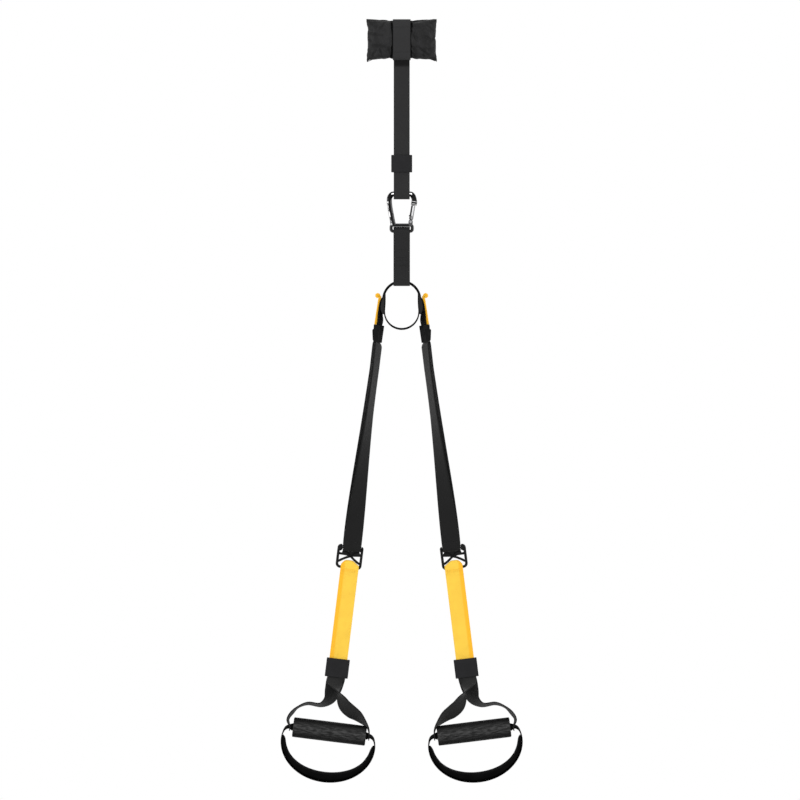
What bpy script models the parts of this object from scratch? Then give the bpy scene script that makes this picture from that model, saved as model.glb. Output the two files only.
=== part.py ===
"""Suspension trainer: a door-anchor strap with its pad, a carabiner, an equaliser ring and two adjustable
straps, each with a grip and a padded foot cradle. Metres, +Z up, the front faces -Y.

The origin lies on the back face of the anchor strap, just under the pad, where the strap is held by the
closed door. Each side is drawn in a frame of its own leg: x is outward, y is back, and a place along the
leg is its distance below the leg's pivot on the equaliser."""

import math

import bmesh
import bpy
from mathutils import Matrix, Vector

# webbing and fits
clearance = 0.0003
web_thick = 0.0022
web_width = 0.038
anchor_width = 0.034
loop_width = 0.035

# door pad
pad_width = 0.148
pad_height = 0.086
pad_thick = 0.034
pad_seam_thick = 0.0036
pad_cover_thick = 0.0018
pad_draw_share = 0.035
pad_crown_share = 0.55
pad_edge_power_share = 2.6
pad_band_width = 0.040
pad_band_sink = 0.0030
pad_columns_share = (-1.0, -0.93, -0.83, -0.68, -0.5, -0.36, 0.36, 0.5, 0.68, 0.83, 0.93, 1.0)
pad_rows_share = (-1.0, -0.92, -0.78, -0.56, -0.3, 0.0, 0.3, 0.56, 0.78, 0.92, 1.0)

# anchor strap and its sleeve
pad_hinge_height = 0.0065
strap_above_hinge = 0.0006
sleeve_top_drop = 0.191
ply_ease = 0.00012
ply_ease_run = 0.006
sleeve_height = 0.0365
sleeve_width = 0.044
sleeve_wall = 0.0020
sleeve_round = 0.0012
back_ply_tuck = 0.004
sleeve_to_bow = 0.0456
bow_slack = 0.0032
spread_drop = 0.014

# carabiner
stock_radius = 0.0055
bow_half_width = 0.0262
bow_flat_half = 0.0175
nose_drop = 0.0232
gate_pivot_drop = 0.0585
gate_pivot_out = 0.0187
eye_top_drop = 0.0650
eye_bar_radius = 0.0035
eye_height = 0.0132
eye_half_width = 0.0224
eye_corner = 0.0045
gate_radius = 0.0043
gate_nose_gap = 0.00055
tongue_thick = 0.0058
tongue_radius = 0.0040
lug_thick = 0.0106
lug_radius = 0.0045
gate_pin_radius = 0.0013
pin_head_radius = 0.0025
pin_head_thick = 0.0008
pin_fit = 0.00015
bow_corner_share = ((0.46, 0.12), (0.78, 0.40), (0.96, 0.78))
corner_drop_share = 1.45
nose_bend_share = 1.12
spine_share = ((-0.985, 0.06), (-0.955, 0.22), (-0.90, 0.40), (-0.82, 0.62), (-0.72, 0.88), (-0.66, 1.0))

# lower strap
loop_ply_merge = 0.016
loop_flare_height = 0.026
loop_foot_ease = 0.0006
loop_side_gap = 0.0004

# equaliser
ring_top_radius = 0.0375
ring_side_half = 0.0348
ring_low_radius = 0.0362
ring_centre_drop = 0.1440
ring_low_drop = 0.0249
lap_top_drop = 0.0120
lap_bottom_drop = 0.0245
lap_width = 0.037
lap_turn_share = (0.12, 0.92)
lap_thin_share = 0.2
side_bulge_share = 1.002
splay_angle = math.radians(7.0)
spread_limit = math.radians(25.0)

# places along the leg, below its pivot
buckle_drop = 0.0581
buckle_length = 0.0370
link_bar_drop = 0.5311
link_bar_spacing = 0.0405
yellow_length = 0.1925
handle_sleeve_height = 0.0395
arm_fall = 0.1540

# cam buckle
buckle_twist = math.radians(76.0)
buckle_inner_width = 0.0390
buckle_wall = 0.0022
buckle_floor = 0.0018
buckle_depth = 0.0130
buckle_bar_radius = 0.0014
bar_inset_share = 1.4
lever_pin_share = 0.36
lever_pin_height = 0.0053
lever_pin_radius = 0.0014
cam_radius = 0.0038
lever_thick = 0.0020
lever_length = 0.0200
tab_width = 0.025
tab_foot_out = 0.0076
tab_roll_radius = 0.0052
tab_roll_out = 0.0107
tab_roll_rise = 0.0021
tab_wrap = math.radians(45.0)
tab_route_share = ((1.0, 1.0), (0.74, 0.60), (0.30, 0.24))

# doubled strap
ply_split_top = 0.0052
back_ply_out = 0.0035
twist_power_share = 2.2
top_split_share = 1 / 6
top_settle_share = 1 / 8
foot_split_share = 0.06

# link
link_half_width = 0.0272
link_bar_radius = 0.0026
link_side_width = 0.0050
link_thick = 0.0048
link_edge = 0.0010
link_top_round = 0.0070
link_foot_round = 0.0060
arm_width = 0.0030
slot_height_share = 0.1136
web_drop_share = 0.2963
web_rise_share = 0.0988
arm_end_rise_share = 0.4

# yellow strap
yellow_slack = 0.0100
yellow_merge_drop = 0.0220
sleeve_side_wall = 0.0050
yellow_tuck = 0.012

# handle arms
arm_cap_gap = 0.0076
eye_tab_width = 0.0250
eye_tab_foot = 0.0115
bundle_radius = 0.0060
bundle_fit = 0.0003
inner_reach_share = (0.0, 0.0, -0.003, -0.045, -0.15, -0.31, -0.48, -0.665, -0.86, -0.965, -1.0)
inner_fall_share = (1.0, 0.80, 0.77, 0.66, 0.55, 0.445, 0.355, 0.295, 0.215, 0.12, 0.0)
inner_twist_share = (0.0, 0.0, 0.0, 0.0, 0.07, 0.20, 0.36, 0.56, 0.80, 0.95, 1.0)
outer_reach_share = (0.0, 0.0, 0.003, 0.035, 0.13, 0.29, 0.48, 0.68, 0.86, 0.965, 1.0)
outer_fall_share = (1.0, 0.80, 0.77, 0.67, 0.57, 0.50, 0.45, 0.375, 0.26, 0.13, 0.0)
outer_twist_share = (0.0, 0.0, 0.0, 0.16, 0.50, 0.80, 0.95, 1.0, 1.0, 1.0, 1.0)
inner_back_share = (0.0,) * len(inner_reach_share)
arm_narrow_share = 0.45
arm_centre_share = (0.45, 0.75)
outer_back_share = (0.0, 0.0, 0.08, 0.38, 0.55, 0.32, 0.08, 0.0, 0.0, 0.0, 0.0)

# grip
grip_half_length = 0.0740
grip_radius = 0.0208
core_radius = 0.0160
core_bore = 0.0130
core_reach = 0.0006
cap_thick = 0.0022
cap_radius = 0.0195
cap_plug = 0.0080
cap_round = 0.0008

# foot cradle
cradle_flare = 0.0160
cradle_shoulder_drop = 0.0250
cradle_depth = 0.1069
cradle_web_thick = 0.0024
pad_side_thick = 0.0105
pad_foot_thick = 0.0195
foot_pad_width = 0.046
foot_pad_top_drop = 0.0270
foot_pad_end_share = 0.45
shoulder_share = ((0.45, 0.12, 0.62), (0.80, 0.42, 0.25))
gather_power_share = (0.7, 1.6)

# overruns of the cuts and joins
overrun = 0.002
sink = 0.0012

ply = (web_thick + clearance) / 2
mid_y = ply - web_thick / 2
link_bar_corner = max(math.hypot(link_bar_radius - link_edge, link_thick / 2),
                      math.hypot(link_bar_radius, link_thick / 2 - link_edge))
link_fold = link_bar_corner + clearance + web_thick / 2
half_turn = math.pi
quarter_turn = math.pi / 2
bow_drop = sleeve_top_drop + sleeve_height + sleeve_to_bow
ring_bar_drop = link_bar_drop + link_bar_spacing
handle_sleeve_drop = ring_bar_drop + yellow_length
grip_axis_drop = handle_sleeve_drop + arm_fall
arm_end_out = grip_half_length + cap_thick + arm_cap_gap
cradle_half_width = arm_end_out + cradle_flare


def clear_scene():
    for obj in list(bpy.data.objects):
        bpy.data.objects.remove(obj, do_unlink=True)
    for coll in list(bpy.data.collections):
        bpy.data.collections.remove(coll)


clear_scene()
parts = bpy.data.collections.new("suspension_trainer")
cutters = bpy.data.collections.new("cutters")
bpy.context.scene.collection.children.link(parts)
bpy.context.scene.collection.children.link(cutters)
cutters.hide_render = True


def material(name, colour, roughness, metallic=0.0):
    mat = bpy.data.materials.new(name)
    mat.use_nodes = True
    shader = mat.node_tree.nodes["Principled BSDF"]
    shader.inputs["Base Color"].default_value = (*colour, 1.0)
    shader.inputs["Roughness"].default_value = roughness
    shader.inputs["Metallic"].default_value = metallic
    mat.diffuse_color = (*colour, 1.0)
    return mat


black_web = (0.030, 0.030, 0.031)
grey_web = (0.060, 0.060, 0.060)
yellow_web = (0.95, 0.58, 0.07)
steel = (0.16, 0.16, 0.17)
moulded = (0.018, 0.018, 0.019)
rubber = (0.028, 0.028, 0.030)
foam = (0.020, 0.020, 0.020)


class Pivot:
    """An empty on a joint's axis, with its place in the frame that its pieces are drawn in."""

    def __init__(self, name, place, parent=None, side=0, turn=0.0):
        self.place = Vector(place)
        self.side = side or (parent.side if parent else 0)
        self.empty = bpy.data.objects.new(name, None)
        parts.objects.link(self.empty)
        self.empty.empty_display_size = web_width
        if parent and parent.side == self.side:
            self.empty.parent = parent.empty
            self.empty.location = self.world(self.place) - self.world(parent.place)
        else:
            self.empty.location = self.place
            self.empty.rotation_euler = (0.0, turn, 0.0)
            if side:
                self.place = Vector((0.0, 0.0, 0.0))

    def world(self, point):
        """Outward, back and down along the leg become this side's own axes; a shared piece is drawn as it is."""
        point = Vector(point)
        return Vector((self.side * point.x, point.y, -point.z)) if self.side else point

    def local(self, point):
        return self.world(Vector(point) - self.place)


def new_object(name, mesh, mat, pivot, collection=None):
    obj = bpy.data.objects.new(name, mesh)
    (collection or parts).objects.link(obj)
    obj.parent = pivot.empty
    mesh.materials.clear()
    if mat:
        mesh.materials.append(mat)
    return obj


def from_bmesh(name, bm, mat, pivot, collection=None, smooth_angle=0.7):
    """Makes the object from a mesh drawn in the pivot's frame of drawing."""
    for vert in bm.verts:
        vert.co = pivot.local(vert.co)
    bm.normal_update()
    bmesh.ops.recalc_face_normals(bm, faces=bm.faces)
    mesh = bpy.data.meshes.new(name)
    bm.to_mesh(mesh)
    bm.free()
    mesh.shade_smooth()
    mesh.set_sharp_from_angle(angle=smooth_angle)
    return new_object(name, mesh, mat, pivot, collection)


def lofted(bm, sections, closed=False):
    """Skins a run of sections that have as many points each."""
    rings = [[bm.verts.new(point) for point in section] for section in sections]
    count = len(rings[0])
    pairs = list(zip(rings, rings[1:] + rings[:1])) if closed else list(zip(rings, rings[1:]))
    for one, two in pairs:
        for k in range(count):
            bm.faces.new((one[k], one[(k + 1) % count], two[(k + 1) % count], two[k]))
    if not closed:
        bm.faces.new(rings[0])
        bm.faces.new(rings[-1])


def webbing(name, rows, mat, pivot, thick=web_thick, closed=False):
    """A strap: an open strip of surface along rows of edge points, with its thickness from Solidify."""
    bm = bmesh.new()
    lines = [[bm.verts.new(pivot.local(point)) for point in row] for row in rows]
    pairs = list(zip(lines, lines[1:] + lines[:1])) if closed else list(zip(lines, lines[1:]))
    for one, two in pairs:
        for k in range(len(one) - 1):
            bm.faces.new((one[k], one[k + 1], two[k + 1], two[k]))
    mesh = bpy.data.meshes.new(name)
    bm.to_mesh(mesh)
    bm.free()
    mesh.shade_smooth()
    obj = new_object(name, mesh, mat, pivot)
    solid = obj.modifiers.new("thickness", "SOLIDIFY")
    solid.thickness = thick
    solid.offset = 0.0
    solid.use_even_offset = True
    return obj


def flat_rows(path, width):
    """Rows for a strap whose width lies along x, from a path of places in y and z."""
    return [((-width / 2, y, z), (width / 2, y, z)) for y, z in path]


def edge_rows(path, width, middle):
    """Rows for a strap seen edge-on, whose width lies along y, from a path of places in x and z."""
    return [((x, middle - width / 2, z), (x, middle + width / 2, z)) for x, z in path]


def arc(centre, radius, start, end, steps):
    """Places on an arc in a plane, angles counted from the first axis towards the second."""
    return [(centre[0] + radius * math.cos(start + (end - start) * k / steps),
             centre[1] + radius * math.sin(start + (end - start) * k / steps)) for k in range(steps + 1)]


def smooth_line(points, steps):
    """A smooth curve through the points, as many steps between each pair."""
    found = []
    for k in range(len(points) - 1):
        before = points[max(k - 1, 0)]
        one, two = points[k], points[k + 1]
        after = points[min(k + 2, len(points) - 1)]
        for j in range(steps):
            t = j / steps
            found.append(tuple(
                b + (c - a) * t / 2 + (a - b * 5 / 2 + c * 2 - d / 2) * t * t
                + (b * 3 - a - c * 3 + d) / 2 * t ** 3
                for a, b, c, d in zip(before, one, two, after)))
    found.append(tuple(points[-1]))
    return found


def add_bar(bm, start, end, radius, sides=20):
    """A capped round bar between two places."""
    start, end = Vector(start), Vector(end)
    along = end - start
    turn = Vector((0.0, 0.0, 1.0)).rotation_difference(along).to_matrix().to_4x4()
    matrix = Matrix.Translation((start + end) / 2) @ turn
    bmesh.ops.create_cone(bm, cap_ends=True, segments=sides, radius1=radius, radius2=radius,
                          depth=along.length, matrix=matrix)


def add_block(bm, low, high):
    low, high = Vector(low), Vector(high)
    size = high - low
    matrix = Matrix.Translation((low + high) / 2) @ Matrix.Diagonal((*size, 1.0))
    bmesh.ops.create_cube(bm, size=1.0, matrix=matrix)


def tool(name, bm, pivot):
    """A body that only cuts or joins others."""
    obj = from_bmesh(name, bm, None, pivot, cutters)
    obj.hide_render = True
    obj.display_type = "WIRE"
    return obj


def boolean(obj, other, operation):
    step = obj.modifiers.new(other.name, "BOOLEAN")
    step.operation = operation
    step.solver = "EXACT"
    step.object = other
    return obj


def cut(obj, bm, pivot, name):
    return boolean(obj, tool(f"{obj.name}_{name}", bm, pivot), "DIFFERENCE")


def join(obj, bm, pivot, name):
    return boolean(obj, tool(f"{obj.name}_{name}", bm, pivot), "UNION")


def tube_mesh(name, points, radius, pivot, closed=False, sides=3):
    """The mesh of a round bar bent along the points, with its caps welded."""
    curve = bpy.data.curves.new(name, "CURVE")
    curve.dimensions = "3D"
    curve.bevel_depth = radius
    curve.bevel_resolution = sides
    curve.use_fill_caps = not closed
    spline = curve.splines.new("POLY")
    spline.points.add(len(points) - 1)
    for knot, point in zip(spline.points, points):
        knot.co = (*pivot.local(point), 1.0)
    spline.use_cyclic_u = closed
    holder = bpy.data.objects.new(name + "_route", curve)
    parts.objects.link(holder)
    depsgraph = bpy.context.evaluated_depsgraph_get()
    mesh = bpy.data.meshes.new_from_object(holder.evaluated_get(depsgraph))
    bpy.data.objects.remove(holder, do_unlink=True)
    bm = bmesh.new()
    bm.from_mesh(mesh)
    bmesh.ops.remove_doubles(bm, verts=bm.verts, dist=clearance / 10)
    bm.normal_update()
    bmesh.ops.recalc_face_normals(bm, faces=bm.faces)
    bm.to_mesh(mesh)
    bm.free()
    mesh.shade_smooth()
    mesh.set_sharp_from_angle(angle=quarter_turn / 2)
    return mesh


def turned(name, outline, mat, pivot, centre, steps=24):
    """A ring turned about the leg's outward axis; the outline runs in radius and place along that axis."""
    bm = bmesh.new()
    ring = [bm.verts.new((radius, 0.0, place)) for radius, place in outline]
    for one, two in zip(ring, ring[1:] + ring[:1]):
        bm.edges.new((one, two))
    mesh = bpy.data.meshes.new(name)
    bm.to_mesh(mesh)
    bm.free()
    obj = new_object(name, mesh, mat, pivot)
    obj.location = pivot.local(centre)
    obj.rotation_euler = (0.0, quarter_turn * pivot.side, 0.0)
    screw = obj.modifiers.new("turn", "SCREW")
    screw.axis = "Z"
    screw.steps = steps
    screw.render_steps = steps
    screw.use_merge_vertices = True
    screw.merge_threshold = clearance / 10
    screw.use_smooth_shade = False
    return obj


# door pad
world = Pivot("hang_point", (0.0, 0.0, 0.0))
pad_pivot = Pivot("pad_fold_axis", (0.0, -web_thick / 2, pad_hinge_height), world)
pad_foot = pad_hinge_height + web_thick / 2 + clearance
band_stand = web_thick / 2 + clearance
pad_draw = pad_width * pad_draw_share / 2
pad_middle = pad_foot + web_thick / 2 + band_stand + pad_height / 2 - pad_draw
pad_y = -web_thick / 2


def pad_height_at(u, v, under_band):
    """Half the pad's thickness, from its seam to its crown, less where the band presses it in."""
    crown = (1 - abs(u) ** pad_edge_power_share) * (1 - abs(v) ** pad_edge_power_share)
    swell = (pad_thick - pad_seam_thick) / 2 * crown ** pad_crown_share
    return pad_seam_thick / 2 + (swell - min(pad_band_sink, swell / 2) if under_band else swell)


def pad_point(u, v):
    x = u * (pad_width / 2 - pad_draw * u * u * (1 - v * v))
    z = v * (pad_height / 2 - pad_draw * (1 - u * u))
    return x, pad_middle + z


def pad_columns():
    """Columns of the pad's surface: its own, and one each side of each edge of the band."""
    edge = (pad_band_width / 2 + clearance) / (pad_width / 2)
    step = edge + pad_band_sink / pad_width
    inner = [u for u in pad_columns_share if abs(u) > step]
    return sorted(inner + [-step, -edge, 0.0, edge, step])


def pad_heights(inset):
    edge = (pad_band_width / 2 + clearance) / (pad_width / 2)
    return [[pad_height_at(u, v, abs(u) <= edge * (1 + clearance)) - inset for v in pad_rows_share]
            for u in pad_columns()]


def pad_panel(name, way):
    """One cover panel: its outer face swells from the seam, and its inner face follows it round the core."""
    outer, columns = pad_heights(0.0), pad_columns()
    bm = bmesh.new()
    faces = []
    for inner in (False, True):
        net = []
        for i, u in enumerate(columns):
            line = []
            for j, v in enumerate(pad_rows_share):
                x, z = pad_point(u, v)
                high = outer[i][j]
                if inner:
                    high = max(high - pad_cover_thick, clearance / 2)
                line.append(bm.verts.new((x, pad_y + way * high, z)))
            net.append(line)
        faces.append(net)
    for net in faces:
        for i in range(len(columns) - 1):
            for j in range(len(pad_rows_share) - 1):
                bm.faces.new((net[i][j], net[i + 1][j], net[i + 1][j + 1], net[i][j + 1]))
    border = [(i, 0) for i in range(len(columns))]
    border += [(len(columns) - 1, j) for j in range(1, len(pad_rows_share))]
    border += [(i, len(pad_rows_share) - 1) for i in range(len(columns) - 2, -1, -1)]
    border += [(0, j) for j in range(len(pad_rows_share) - 2, 0, -1)]
    for (i, j), (m, n) in zip(border, border[1:] + border[:1]):
        bm.faces.new((faces[0][i][j], faces[0][m][n], faces[1][m][n], faces[1][i][j]))
    return from_bmesh(name, bm, material(name, black_web, 0.55), pad_pivot)


pad_panel("pad_front_panel", -1)
pad_panel("pad_back_panel", 1)


def pad_core():
    """The foam block inside both panels, a clearance inside them."""
    heights, columns = pad_heights(pad_cover_thick + clearance), pad_columns()
    across = range(1, len(columns) - 1)
    along = range(1, len(pad_rows_share) - 1)
    bm = bmesh.new()
    nets = []
    for way in (-1, 1):
        nets.append([[bm.verts.new((pad_point(columns[i], pad_rows_share[j])[0], pad_y + way * heights[i][j],
                                    pad_point(columns[i], pad_rows_share[j])[1])) for j in along]
                     for i in across])
    for net in nets:
        for i in range(len(net) - 1):
            for j in range(len(net[0]) - 1):
                bm.faces.new((net[i][j], net[i + 1][j], net[i + 1][j + 1], net[i][j + 1]))
    last, top = len(nets[0]) - 1, len(nets[0][0]) - 1
    border = [(i, 0) for i in range(last + 1)] + [(last, j) for j in range(1, top + 1)]
    border += [(i, top) for i in range(last - 1, -1, -1)] + [(0, j) for j in range(top - 1, 0, -1)]
    for (i, j), (m, n) in zip(border, border[1:] + border[:1]):
        bm.faces.new((nets[0][i][j], nets[0][m][n], nets[1][m][n], nets[1][i][j]))
    return from_bmesh("pad_core", bm, material("pad_core", foam, 0.9), pad_pivot)


pad_core()

band_path = []
for way in (-1, 1):
    rows = pad_rows_share if way < 0 else tuple(reversed(pad_rows_share))
    for v in rows:
        high = pad_height_at(0.0, v, True)
        lift = band_stand * v * abs(v)
        band_path.append((pad_y + way * (high + band_stand), pad_point(0.0, v)[1] + lift))
webbing("pad_band", flat_rows(band_path, pad_band_width), material("pad_band", black_web, 0.7), pad_pivot,
        closed=True)

# anchor strap, sleeve
bow_pivot = Pivot("carabiner_swing_axis", (0.0, mid_y, -bow_drop), world)
fold_radius = stock_radius + clearance + web_thick / 2
fold_centre = -bow_drop - bow_slack
sleeve_foot_drop = sleeve_top_drop + sleeve_height
spread_start = -sleeve_foot_drop - back_ply_tuck
spread_end = -bow_drop + spread_drop
anchor_path = [(mid_y - ply, pad_hinge_height + strap_above_hinge), (mid_y - ply, -sleeve_top_drop + ply_ease_run),
               (mid_y - ply - ply_ease, -sleeve_top_drop), (mid_y - ply - ply_ease, spread_start)]
anchor_path += [(mid_y - fold_radius, spread_end)]
anchor_path += [(y, z) for y, z in arc((mid_y, fold_centre), fold_radius, half_turn, half_turn * 2, 10)]
anchor_path += [(mid_y + fold_radius, spread_end), (mid_y + ply, spread_start),
                (mid_y + ply, -sleeve_top_drop - back_ply_tuck)]
webbing("anchor_strap", flat_rows(anchor_path, anchor_width), material("anchor_strap", black_web, 0.75), world)


def rubber_sleeve(name, width, height, top, plies_width, mat, pivot):
    """A rubber label sleeve round both plies of a strap, left bare. Its top is given along the drawing's z."""
    depth = ply + web_thick / 2 + clearance
    down = 1 if pivot.side else -1
    ends = sorted((top, top + down * height))
    middle = mid_y if not pivot.side else 0.0
    wall_y = depth + sleeve_wall
    bm = bmesh.new()
    add_block(bm, (-width / 2, middle - wall_y, ends[0]), (width / 2, middle + wall_y, ends[1]))
    obj = from_bmesh(name, bm, mat, pivot)
    soft = obj.modifiers.new("edges", "BEVEL")
    soft.width = sleeve_round
    soft.segments = 2
    bm = bmesh.new()
    half = plies_width / 2 + clearance
    add_block(bm, (-half, middle - depth, ends[0] - overrun), (half, middle + depth, ends[1] + overrun))
    return cut(obj, bm, pivot, "bore")


rubber_sleeve("anchor_sleeve", sleeve_width, sleeve_height, -sleeve_top_drop, anchor_width,
              material("anchor_sleeve", rubber, 0.6), world)

# carabiner
eye_top = -bow_drop - eye_top_drop
eye_foot = eye_top - eye_height
gate_pivot_z = -bow_drop - gate_pivot_drop
nose_z = -bow_drop - nose_drop
corner_in = bow_half_width - bow_flat_half
corner_drop = corner_in * corner_drop_share
spine_top_drop = corner_drop * nose_bend_share
right_corner = [(bow_flat_half + corner_in * a, mid_y, -bow_drop - corner_drop * b) for a, b in bow_corner_share]
left_corner = [(-x, y, z) for x, y, z in reversed(right_corner)]
gate_lean = math.atan2(bow_half_width - gate_pivot_out, gate_pivot_drop - corner_drop)
nose_out = gate_pivot_out + (nose_z - gate_pivot_z) * math.tan(gate_lean)
body_route = [(nose_out, mid_y, nose_z), (bow_half_width, mid_y, -bow_drop - spine_top_drop)]
body_route += list(reversed(right_corner)) + [(bow_flat_half, mid_y, -bow_drop), (0.0, mid_y, -bow_drop),
                                              (-bow_flat_half, mid_y, -bow_drop)]
body_route += [(-x, y, z) for x, y, z in right_corner]
body_route += [(bow_half_width * a, mid_y, -bow_drop - spine_top_drop - (eye_top_drop - spine_top_drop) * b)
               for a, b in spine_share]
carabiner_mat = material("carabiner_body", steel, 0.2, 1.0)
carabiner = new_object("carabiner_body", tube_mesh("carabiner_body", body_route, stock_radius, bow_pivot),
                       carabiner_mat, bow_pivot)
eye_half_height = eye_height / 2
eye_middle = (eye_top + eye_foot) / 2
eye_route = []
for across, up, first in ((1, 1, 0.0), (-1, 1, quarter_turn), (-1, -1, half_turn), (1, -1, half_turn * 1.5)):
    spot = (across * (eye_half_width - eye_corner), eye_middle + up * (eye_half_height - eye_corner))
    eye_route += [(x, mid_y, z) for x, z in arc(spot, eye_corner, first, first + quarter_turn, 5)]
eye = new_object("carabiner_eye_bar", tube_mesh("carabiner_eye_bar", eye_route, eye_bar_radius, bow_pivot, True, 2),
                 None, bow_pivot, cutters)
eye.hide_render = True
eye.display_type = "WIRE"
boolean(carabiner, eye, "UNION")
bm = bmesh.new()
lug = Vector((gate_pivot_out, 0.0, gate_pivot_z))
add_bar(bm, (lug.x, mid_y - lug_thick / 2, lug.z), (lug.x, mid_y + lug_thick / 2, lug.z), lug_radius, 24)
join(carabiner, bm, bow_pivot, "lug")
bm = bmesh.new()
add_block(bm, (lug.x - lug_radius, mid_y - lug_thick / 2 + sink / 4, eye_top - sink / 2),
          (lug.x + lug_radius - sink / 4, mid_y + lug_thick / 2 - sink / 4, lug.z))
join(carabiner, bm, bow_pivot, "foot")
bm = bmesh.new()
slot = tongue_thick / 2 + clearance
add_block(bm, (lug.x - lug_radius - overrun, mid_y - slot, lug.z - tongue_radius - clearance),
          (lug.x + lug_radius + overrun, mid_y + slot, lug.z + lug_radius + overrun))
cut(carabiner, bm, bow_pivot, "slot")
bm = bmesh.new()
add_bar(bm, (lug.x, mid_y - lug_thick, lug.z), (lug.x, mid_y + lug_thick, lug.z), gate_pin_radius + pin_fit, 16)
cut(carabiner, bm, bow_pivot, "pin_hole")

gate_pivot = Pivot("gate_axis", (lug.x, mid_y, lug.z), bow_pivot)
bm = bmesh.new()
pin_reach = lug_thick / 2 + clearance
add_bar(bm, (lug.x, mid_y - pin_reach - sink / 2, lug.z), (lug.x, mid_y + pin_reach + sink / 2, lug.z),
        gate_pin_radius, 16)
pin = from_bmesh("gate_pin", bm, material("gate_pin", steel, 0.3, 1.0), bow_pivot)
for way in (-1, 1):
    bm = bmesh.new()
    start = mid_y + way * pin_reach
    add_bar(bm, (lug.x, start, lug.z), (lug.x, start + way * pin_head_thick, lug.z), pin_head_radius, 16)
    join(pin, bm, bow_pivot, "head_front" if way < 0 else "head_back")

aim = Vector((math.sin(gate_lean), 0.0, math.cos(gate_lean)))
reach = (nose_z - gate_pivot_z) / math.cos(gate_lean) - gate_nose_gap
bm = bmesh.new()
gate_start = Vector((lug.x, mid_y, lug.z)) + aim * (lug_radius + clearance)
gate_end = Vector((lug.x, mid_y, lug.z)) + aim * reach
add_bar(bm, gate_start, gate_end, gate_radius, 24)
gate = from_bmesh("gate", bm, material("gate", (0.35, 0.35, 0.36), 0.22, 1.0), gate_pivot)
bm = bmesh.new()
add_bar(bm, (lug.x, mid_y - tongue_thick / 2, lug.z), (lug.x, mid_y + tongue_thick / 2, lug.z), tongue_radius, 24)
join(gate, bm, gate_pivot, "tongue")
bm = bmesh.new()
neck = Vector((tongue_radius * 2 - sink / 4, tongue_thick - sink / 4, lug_radius + clearance + sink))
turn = Matrix.Rotation(gate_lean, 4, "Y")
place = Matrix.Translation((lug.x, mid_y, lug.z)) @ turn @ Matrix.Translation((0.0, 0.0, neck.z / 2))
bmesh.ops.create_cube(bm, size=1.0, matrix=place @ Matrix.Diagonal((*neck, 1.0)))
join(gate, bm, gate_pivot, "neck")
bm = bmesh.new()
add_bar(bm, (lug.x, mid_y - lug_thick, lug.z), (lug.x, mid_y + lug_thick, lug.z), gate_pin_radius + pin_fit, 16)
cut(gate, bm, gate_pivot, "pin_hole")

# lower strap
eye_pivot = Pivot("lower_strap_swing_axis", (0.0, mid_y, eye_foot), bow_pivot)
ring_centre = eye_foot - ring_centre_drop
ring_pivot = Pivot("equaliser_roll_axis", (0.0, mid_y, ring_centre), eye_pivot)
over_radius = ring_top_radius + web_thick + clearance
loop_fold = eye_bar_radius + clearance + web_thick / 2
ring_inner = ring_top_radius - web_thick / 2
foot_inner = ring_centre + math.sqrt(ring_inner ** 2 - (loop_width / 2) ** 2) - clearance
foot_z = foot_inner - web_thick / 2
foot_y = web_width / 2 + loop_side_gap + web_thick / 2
flare_foot = ring_centre + over_radius + web_thick
loop_path = arc((mid_y, eye_foot), loop_fold, 0.0, half_turn, 10)
front = [(mid_y - ply, eye_foot - loop_ply_merge), (mid_y - ply, flare_foot + loop_flare_height),
         (mid_y - foot_y, flare_foot)]
loop_foot_round = loop_foot_ease + web_thick / 2
round_front = arc((mid_y - foot_y + loop_foot_round, foot_z + loop_foot_round), loop_foot_round, half_turn,
                  half_turn * 1.5, 4)
round_back = [(2 * mid_y - y, z) for y, z in reversed(round_front)]
loop_path += front + round_front + round_back + [(2 * mid_y - y, z) for y, z in reversed(front)]
webbing("lower_strap", flat_rows(loop_path, loop_width), material("lower_strap", black_web, 0.75), eye_pivot,
        closed=True)

# equaliser
over_half = half_turn / 2 - splay_angle
over_path = arc((0.0, ring_centre), over_radius, quarter_turn - over_half, quarter_turn + over_half, 24)
webbing("equaliser_over_web", edge_rows(over_path, web_width, mid_y), material("equaliser_over_web", black_web, 0.75),
        ring_pivot)
low_centre = ring_centre - ring_low_drop
side_angle = math.acos(ring_side_half / ring_top_radius)
ring_path = arc((0.0, ring_centre), ring_top_radius, side_angle, half_turn - side_angle, 20)
side_z = ring_centre + ring_top_radius * math.sin(side_angle)
side_mid = (side_z + low_centre) / 2
left_side = smooth_line([(-ring_side_half, side_z), (-ring_side_half * side_bulge_share, side_mid),
                         (-ring_low_radius, low_centre)], 3)[1:-1]
ring_path += left_side
ring_path += arc((0.0, low_centre), ring_low_radius, half_turn, half_turn * 2, 20)
ring_path += [(-x, z) for x, z in reversed(left_side)]
webbing("equaliser_ring", edge_rows(ring_path, web_width, mid_y), material("equaliser_ring", black_web, 0.75),
        ring_pivot, closed=True)

pivot_out = over_radius * math.cos(splay_angle)
pivot_z = ring_centre + over_radius * math.sin(splay_angle)


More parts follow.
